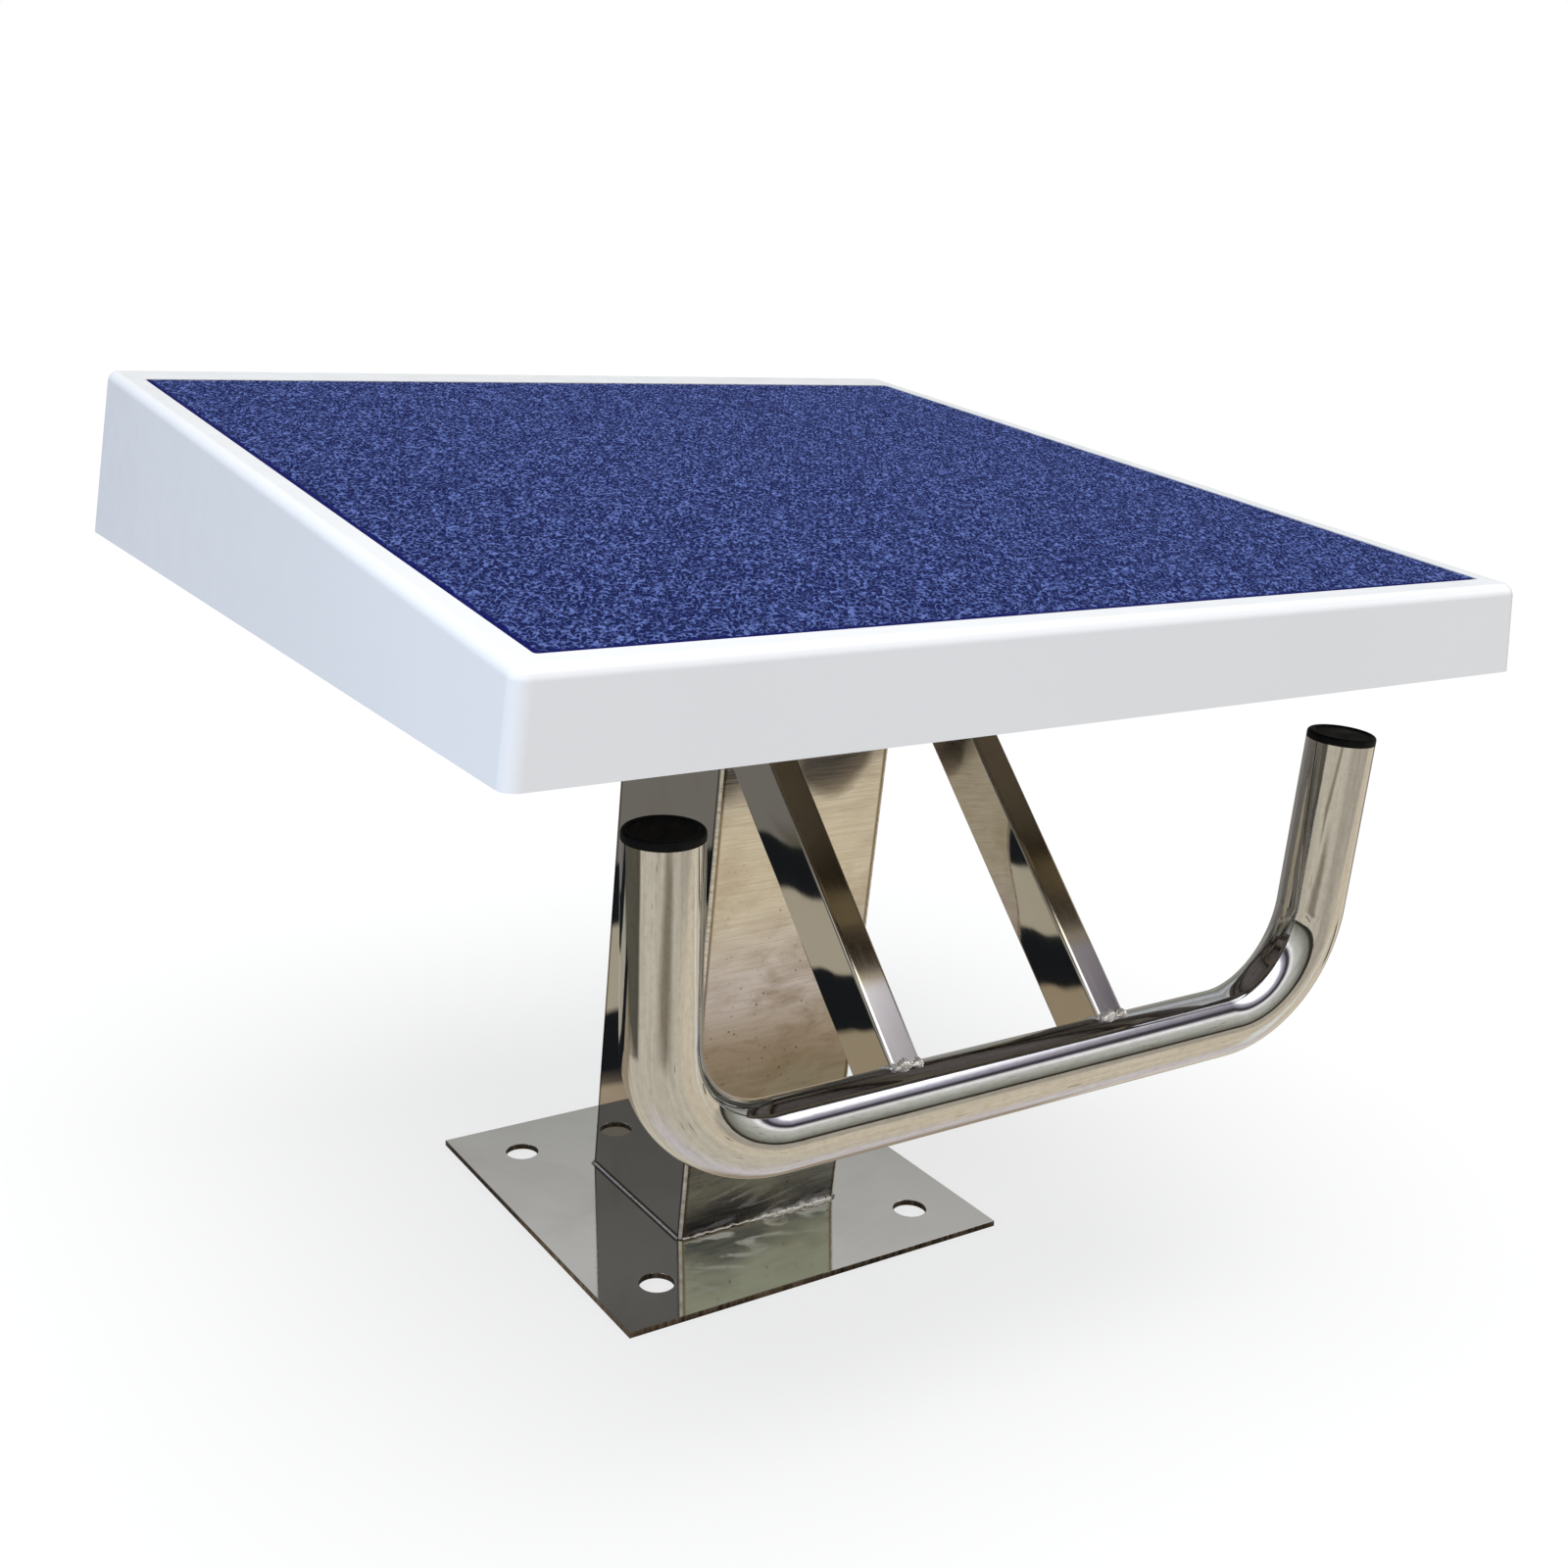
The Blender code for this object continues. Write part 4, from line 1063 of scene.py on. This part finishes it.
def make_strut_welds(name, x):
    """Beads where a strut sits on the bar, along its flanks and across its ends, and round its head."""
    half = STRUT_WIDTH / 2
    upper, lower = (strut_meets_bar(side * (STRUT_DEPTH / 2 - STRUT_END_INSET)) for side in (1, -1))
    for flank, sign in SIDES:
        path = [on_bar(x + sign * half, a) for a in arc_turns(lower, upper, 24)]
        bead(f"weld_strut_{name}_{flank}", path, STRUT_FLANK_BEAD, 31 + sign)
    for end, turn in (("upper", upper), ("lower", lower)):
        path = [on_bar(x - half, turn), on_bar(x + half, turn)]
        bead(f"weld_strut_{name}_{end}", path, STRUT_END_BEAD, 57 + turn, ripple=0.5, wander=0.0008)
    loop = []
    for up, sign in ((-1, -1), (-1, 1), (1, 1), (1, -1), (-1, -1)):
        start = STRUT_FOOT + STRUT_UPPER_FACE * (up * STRUT_DEPTH / 2) + X_AXIS * (x + sign * half)
        loop.append(crossing(start, STRUT_DIRECTION, HEAD_SEAT_PLANE))
    for number, ends in enumerate(zip(loop, loop[1:])):
        bead(f"weld_strut_{name}_head_{number}", ends, STRUT_HEAD_BEAD, 71 + number)


# Hand bar

def rounded_path(corners, radius, steps):
    """Points along straight lines through the corners, with an arc at each inner corner."""
    points = [corners[0]]
    for before, corner, after in zip(corners, corners[1:], corners[2:]):
        back = (before - corner).normalized()
        on = (after - corner).normalized()
        half_angle = back.angle(on) / 2
        centre = corner + (back + on).normalized() * radius / sin(half_angle)
        start = corner + back * radius / tan(half_angle) - centre
        turn = back.cross(on).normalized()
        for sweep in arc_turns(0, 2 * half_angle - pi, steps):
            points.append(centre + Matrix.Rotation(sweep, 3, turn) @ start)
    points.append(corners[-1])
    return points


def tube_rings(path, radius):
    """Rings square to a path that lies in the XZ plane and starts and ends straight."""
    rings = []
    for i, point in enumerate(path):
        along = (path[min(i + 1, len(path) - 1)] - path[max(i - 1, 0)]).normalized()
        if i == 1:
            along = (path[1] - path[0]).normalized()
        if i == len(path) - 2:
            along = (path[-1] - path[-2]).normalized()
        rings.append(ring(point, radius, Y_AXIS, along.cross(Y_AXIS), BAR_SIDES))
    return rings


def leg_top(side):
    """The open end of a leg, in the bar's frame."""
    return Vector((side * (BAR_HALF_WIDTH + LEG_LENGTH * tan(LEG_FLARE)), 0, LEG_LENGTH))


def make_bar():
    """The bent tube, round and smooth, with its two open ends."""
    corner = Vector((BAR_HALF_WIDTH, 0, 0))
    path = rounded_path([leg_top(-1), -corner, corner, leg_top(1)], BAR_BEND_RADIUS, BEND_STEPS)
    rings = tube_rings(path, BAR_RADIUS) + tube_rings(path, BAR_RADIUS - BAR_WALL)[::-1]
    bar = new_object("grip_bar_skin", loft(rings, closed=True), BAR_FRAME)

    along = lengths_along(path)
    around = [(BAR_RADIUS * cos(turn), BAR_RADIUS * sin(turn)) for turn in circle_turns(BAR_SIDES)]
    places = [(length, *point) for length in along + along[::-1] for point in around]
    map_along = bar.data.attributes.new("tube_place", "FLOAT_VECTOR", "POINT")
    map_along.data.foreach_set("vector", np.array(places, dtype=np.float32).ravel())
    dress(bar, ["bar"], "grip_bar")


def make_caps():
    """Push-in caps with a rounded rim, a shallow dish and a low dome, and a hollow plug in the tube."""
    plug = BAR_RADIUS - BAR_WALL - JOINT_GAP
    edge = BAR_RADIUS - CAP_EDGE_RADIUS
    top = JOINT_GAP + CAP_THICKNESS
    profile = [
        (0.0001, -CAP_WEB_DEPTH),
        (plug - CAP_PLUG_WALL, -CAP_WEB_DEPTH),
        (plug - CAP_PLUG_WALL, -CAP_PLUG_LENGTH),
        (plug, -CAP_PLUG_LENGTH),
        (plug, JOINT_GAP),
        (BAR_RADIUS, JOINT_GAP),
    ]
    for turn in arc_turns(0, pi / 2, 8):
        profile.append((edge + CAP_EDGE_RADIUS * cos(turn), top - CAP_EDGE_RADIUS * (1 - sin(turn))))
    dish = edge - CAP_RIM_WIDTH + CAP_EDGE_RADIUS / 2
    for share in arc_turns(0, 1, 4):
        profile.append((dish - 0.001 * share, top - CAP_DISH * (0.5 - 0.5 * cos(pi * share))))
    for share in (0.8, 0.6, 0.4, 0.2, 0.005):
        profile.append((dish * share, top - CAP_DISH + 0.8 * CAP_DISH * cos(share * pi / 2) ** 2))
    for name, side in SIDES:
        place = BAR_FRAME @ placed(leg_top(side), side * LEG_FLARE, "Y")
        cap = new_object(f"grip_cap_{name}_skin", turned(profile, BAR_SIDES), place)
        dress(cap, ["cap"], f"grip_cap_{name}")


# Frame and fasteners under the top

def make_frame():
    for side, _ in SIDES:
        refined(f"rail_{side}", "rail", RAIL_EDGE_RADIUS)
        refined(f"rail_mid_{side}", "rail", RAIL_EDGE_RADIUS)
        for row in ("front", "middle", "rear"):
            refined(f"top_bolt_{side}_{row}", "fastener", BOLT_EDGE_RADIUS)
            refined(f"top_washer_{side}_{row}", "fastener", WASHER_EDGE_RADIUS)
            paint(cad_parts[f"top_insert_{side}_{row}"], "brass")
    for end in ("front", "rear"):
        refined(f"rail_{end}", "end_rail", RAIL_EDGE_RADIUS)
    refined("head_plate", "head", HEAD_PLATE_EDGE_RADIUS)


# Studio

def level_square(name, reach, level):
    shape = bmesh.new()
    corners = [(x * reach, y * reach, level) for x, y in ((-1, -1), (1, -1), (1, 1), (-1, 1))]
    shape.faces.new([shape.verts.new(corner) for corner in corners])
    return new_object(name, shape)


def make_floor():
    """A wide floor, white where it is lit, that keeps the block's shadow and lights it from below."""
    bounce = (FLOOR_BOUNCE,) * 3
    look = Look("studio_floor", bounce, Roughness=0.9, Specular_IOR_Level=0.0, Emission_Color=(1, 1, 1))
    seen = look.seen()
    look.feed(Base_Color=seen.blend(bounce, (FLOOR_SEEN,) * 3), Emission_Strength=seen * FLOOR_LIFT)
    ground = level_square("studio_floor", 40.0, -0.0002)
    ground.data.materials.append(look.material)


def make_world():
    """White behind everything that is seen or reflected, and a softer fill on matt surfaces."""
    world = bpy.data.worlds.new("studio")
    bpy.context.scene.world = world
    world.use_nodes = True
    air = Nodes(world.node_tree)
    strength = air.seen().ramp(0.0, 1.0, 0.5, 1.0)
    air.fill(air.tree.nodes["Background"], {"Color": (1, 1, 1), "Strength": strength})


def glow(name):
    """A material that only emits, for a card that stands around the set."""
    return Look(name, (0, 0, 0), Roughness=1.0, Specular_IOR_Level=0.0, Emission_Strength=1.0)


def as_card(piece, material):
    """Makes a piece show in reflections only, as the walls and floor of a room outside the picture."""
    piece.data.materials.append(material)
    piece.visible_camera = False
    piece.visible_diffuse = False
    piece.visible_transmission = False
    piece.visible_volume_scatter = False
    piece.visible_shadow = False


# Mirrored floor: colour, reach in X and in Y, and softness. The second set is turned about the origin
FAR = 20.0
FLOOR_BEIGE = (0.74, 0.675, 0.54)
FLOOR_PATCHES = (
    ((0.58, 0.52, 0.42), (0.05, FAR), (-FAR, -0.85), 0.12),
    ((0.86, 0.755, 0.57), (0.0, FAR), (-0.95, -0.16), 0.10),
    ((0.05, 0.045, 0.04), (-FAR, FAR), (-FAR, -3.4), 0.15),
    ((0.30, 0.28, 0.25), (0.15, FAR), (-0.16, FAR), 0.03),
    ((0.40, 0.33, 0.23), (-FAR, -0.10), (-0.02, FAR), 0.03),
    ((0.50, 0.455, 0.365), (-0.72, 0.15), (0.23, FAR), 0.01),
    ((0.21, 0.20, 0.185), (-FAR, 0.15), (0.60, FAR), 0.03),
    ((0.13, 0.12, 0.09), (-FAR, -0.68), (-0.27, 0.70), 0.04),
    ((0.012, 0.014, 0.017), (-0.72, 0.02), (0.17, 0.29), 0.005),
    ((0.012, 0.014, 0.017), (-0.72, 0.02), (0.48, 0.64), 0.008),
    ((0.80, 0.74, 0.73), (-0.35, 0.45), (-0.38, -0.24), 0.05),
    # The next two patches are painted shade: the block's shadow on the ground round its foot, and the dark
    # under the floor plate
    ((0.42, 0.34, 0.25), (-0.15, 0.20), (-0.27, 0.17), 0.03),
    ((0.16, 0.15, 0.13), (-0.138, 0.138), (-0.138, 0.138), 0.003),
    ((0.33, 0.28, 0.21), (-0.56, -0.25), (-1.20, -0.72), 0.08),
    ((0.33, 0.28, 0.21), (-0.98, -0.78), (-1.60, -0.95), 0.05),
)
TURNED_PATCHES = (
    ((1.0, 1.0, 0.95), (0.52, 1.05), (-0.03, 0.03), 0.012),
    ((0.05, 0.045, 0.035), (0.74, 0.98), (0.20, 0.28), 0.02),
)


def make_mirrored_floor():
    look = glow("mirrored_floor")
    wander = [look.noise(scale, 2.0).ramp(0.3, 0.7, -0.012, 0.012) for scale in (6.0, 4.6)]
    colour = FLOOR_BEIGE
    for turn, patches in ((0.0, FLOOR_PATCHES), (radians(45), TURNED_PATCHES)):
        look.place = look.turned((0, 0, turn))
        x, y = (axis + way for axis, way in zip(look.axes(), wander))
        for tone, (x0, x1), (y0, y1), soft in patches:
            colour = (x.within(x0, x1, soft) * y.within(y0, y1, soft)).blend(colour, tone)
    as_card(level_square("mirrored_floor", 8.0, 0.0003), look.feed(Emission_Color=colour))


# Mirrored walls: elevation in degrees and colour, on the pool side and behind the block
WALL_DISTANCE = 6.0
POOL_SIDE = (
    (0, 0.04, 0.04, 0.03), (1.5, 0.12, 0.11, 0.09), (3, 0.27, 0.26, 0.21), (6, 0.34, 0.33, 0.27),
    (9, 0.41, 0.41, 0.35), (12, 0.51, 0.52, 0.45), (15, 0.60, 0.60, 0.53), (18, 0.67, 0.67, 0.60),
    (21, 0.75, 0.75, 0.68), (24, 0.83, 0.83, 0.77), (28, 1.35, 1.33, 1.32), (31, 0.85, 0.83, 0.84),
    (33, 0.10, 0.09, 0.09), (37, 0.06, 0.05, 0.07), (39, 0.30, 0.28, 0.35), (42, 0.50, 0.47, 0.52),
    (44, 0.66, 0.64, 0.72), (47, 1.5, 1.5, 1.6), (51, 2.5, 2.5, 2.6), (64, 2.3, 2.3, 2.4),
    (72, 1.2, 1.2, 1.3), (85, 1.0, 1.0, 1.0),
)
BEHIND = (
    (0, 0.50, 0.49, 0.44), (5, 0.38, 0.37, 0.32), (10, 0.32, 0.31, 0.26), (15, 0.27, 0.28, 0.25),
    (20, 0.36, 0.38, 0.36), (25, 0.53, 0.54, 0.55), (29, 0.64, 0.65, 0.67), (32, 0.50, 0.51, 0.52),
    (35, 0.38, 0.38, 0.38), (42, 0.60, 0.60, 0.60), (50, 1.0, 1.0, 1.0),
)


def make_mirrored_walls():
    look = glow("mirrored_walls")
    x, y, z = look.axes()
    share = ((z - COLUMN_HEAD.z / 2) / WALL_DISTANCE).math("ARCSINE") / (pi / 2)
    rear = share.bands(BEHIND)
    dim = look.add("VectorMath", {0: rear, 1: (0.36, 0.36, 0.37)}, operation="MULTIPLY")
    rear = x.ramp(-1.0, 1.0).blend(dim, rear)
    colour = y.ramp(-0.5, 1.5).blend(share.bands(POOL_SIDE), rear)
    rings = [
        [WALL_DISTANCE * Vector((cos(a) * cos(b), cos(a) * sin(b), sin(a))) for b in circle_turns(64)]
        for a in arc_turns(0, 0.49 * pi, 24)
    ]
    as_card(new_object("mirrored_walls", loft(rings, capped=False)), look.feed(Emission_Color=colour))


def sun(name, towards, power, colour, angle):
    """A wide soft light from far away, whose lamp isn't mirrored in the steel."""
    lamp = bpy.data.lights.new(name, "SUN")
    lamp.energy = power
    lamp.color = colour
    lamp.angle = angle
    holder = as_piece(name, lamp, Vector(towards).to_track_quat("Z", "Y").to_matrix().to_4x4())
    holder.visible_glossy = False


def make_lamps():
    sun("key_light", (-0.13, -0.22, 0.967), 2.55, (1, 1, 1), radians(50))
    sun("cool_fill", (-cos(radians(15)), 0, sin(radians(15))), 0.30 * pi, (0.30, 0.56, 1.0), radians(40))


def make_camera():
    camera = bpy.data.cameras.new("camera")
    camera.lens = LENS
    camera.sensor_width = SENSOR
    roll = Matrix.Rotation(-EYE_ROLL, 4, "Z")
    place = placed(EYE, -EYE_YAW, "Z") @ Matrix.Rotation(pi / 2 - EYE_PITCH, 4, "X") @ roll
    bpy.context.scene.camera = as_piece("camera", camera, place)


make_camera()
make_plate()
make_post()
make_post_welds()
make_shell()
make_deck()
make_struts()
make_bar()
make_caps()
make_frame()
make_floor()
make_world()
make_mirrored_floor()
make_mirrored_walls()
make_lamps()
bpy.context.scene.view_settings.view_transform = "Standard"
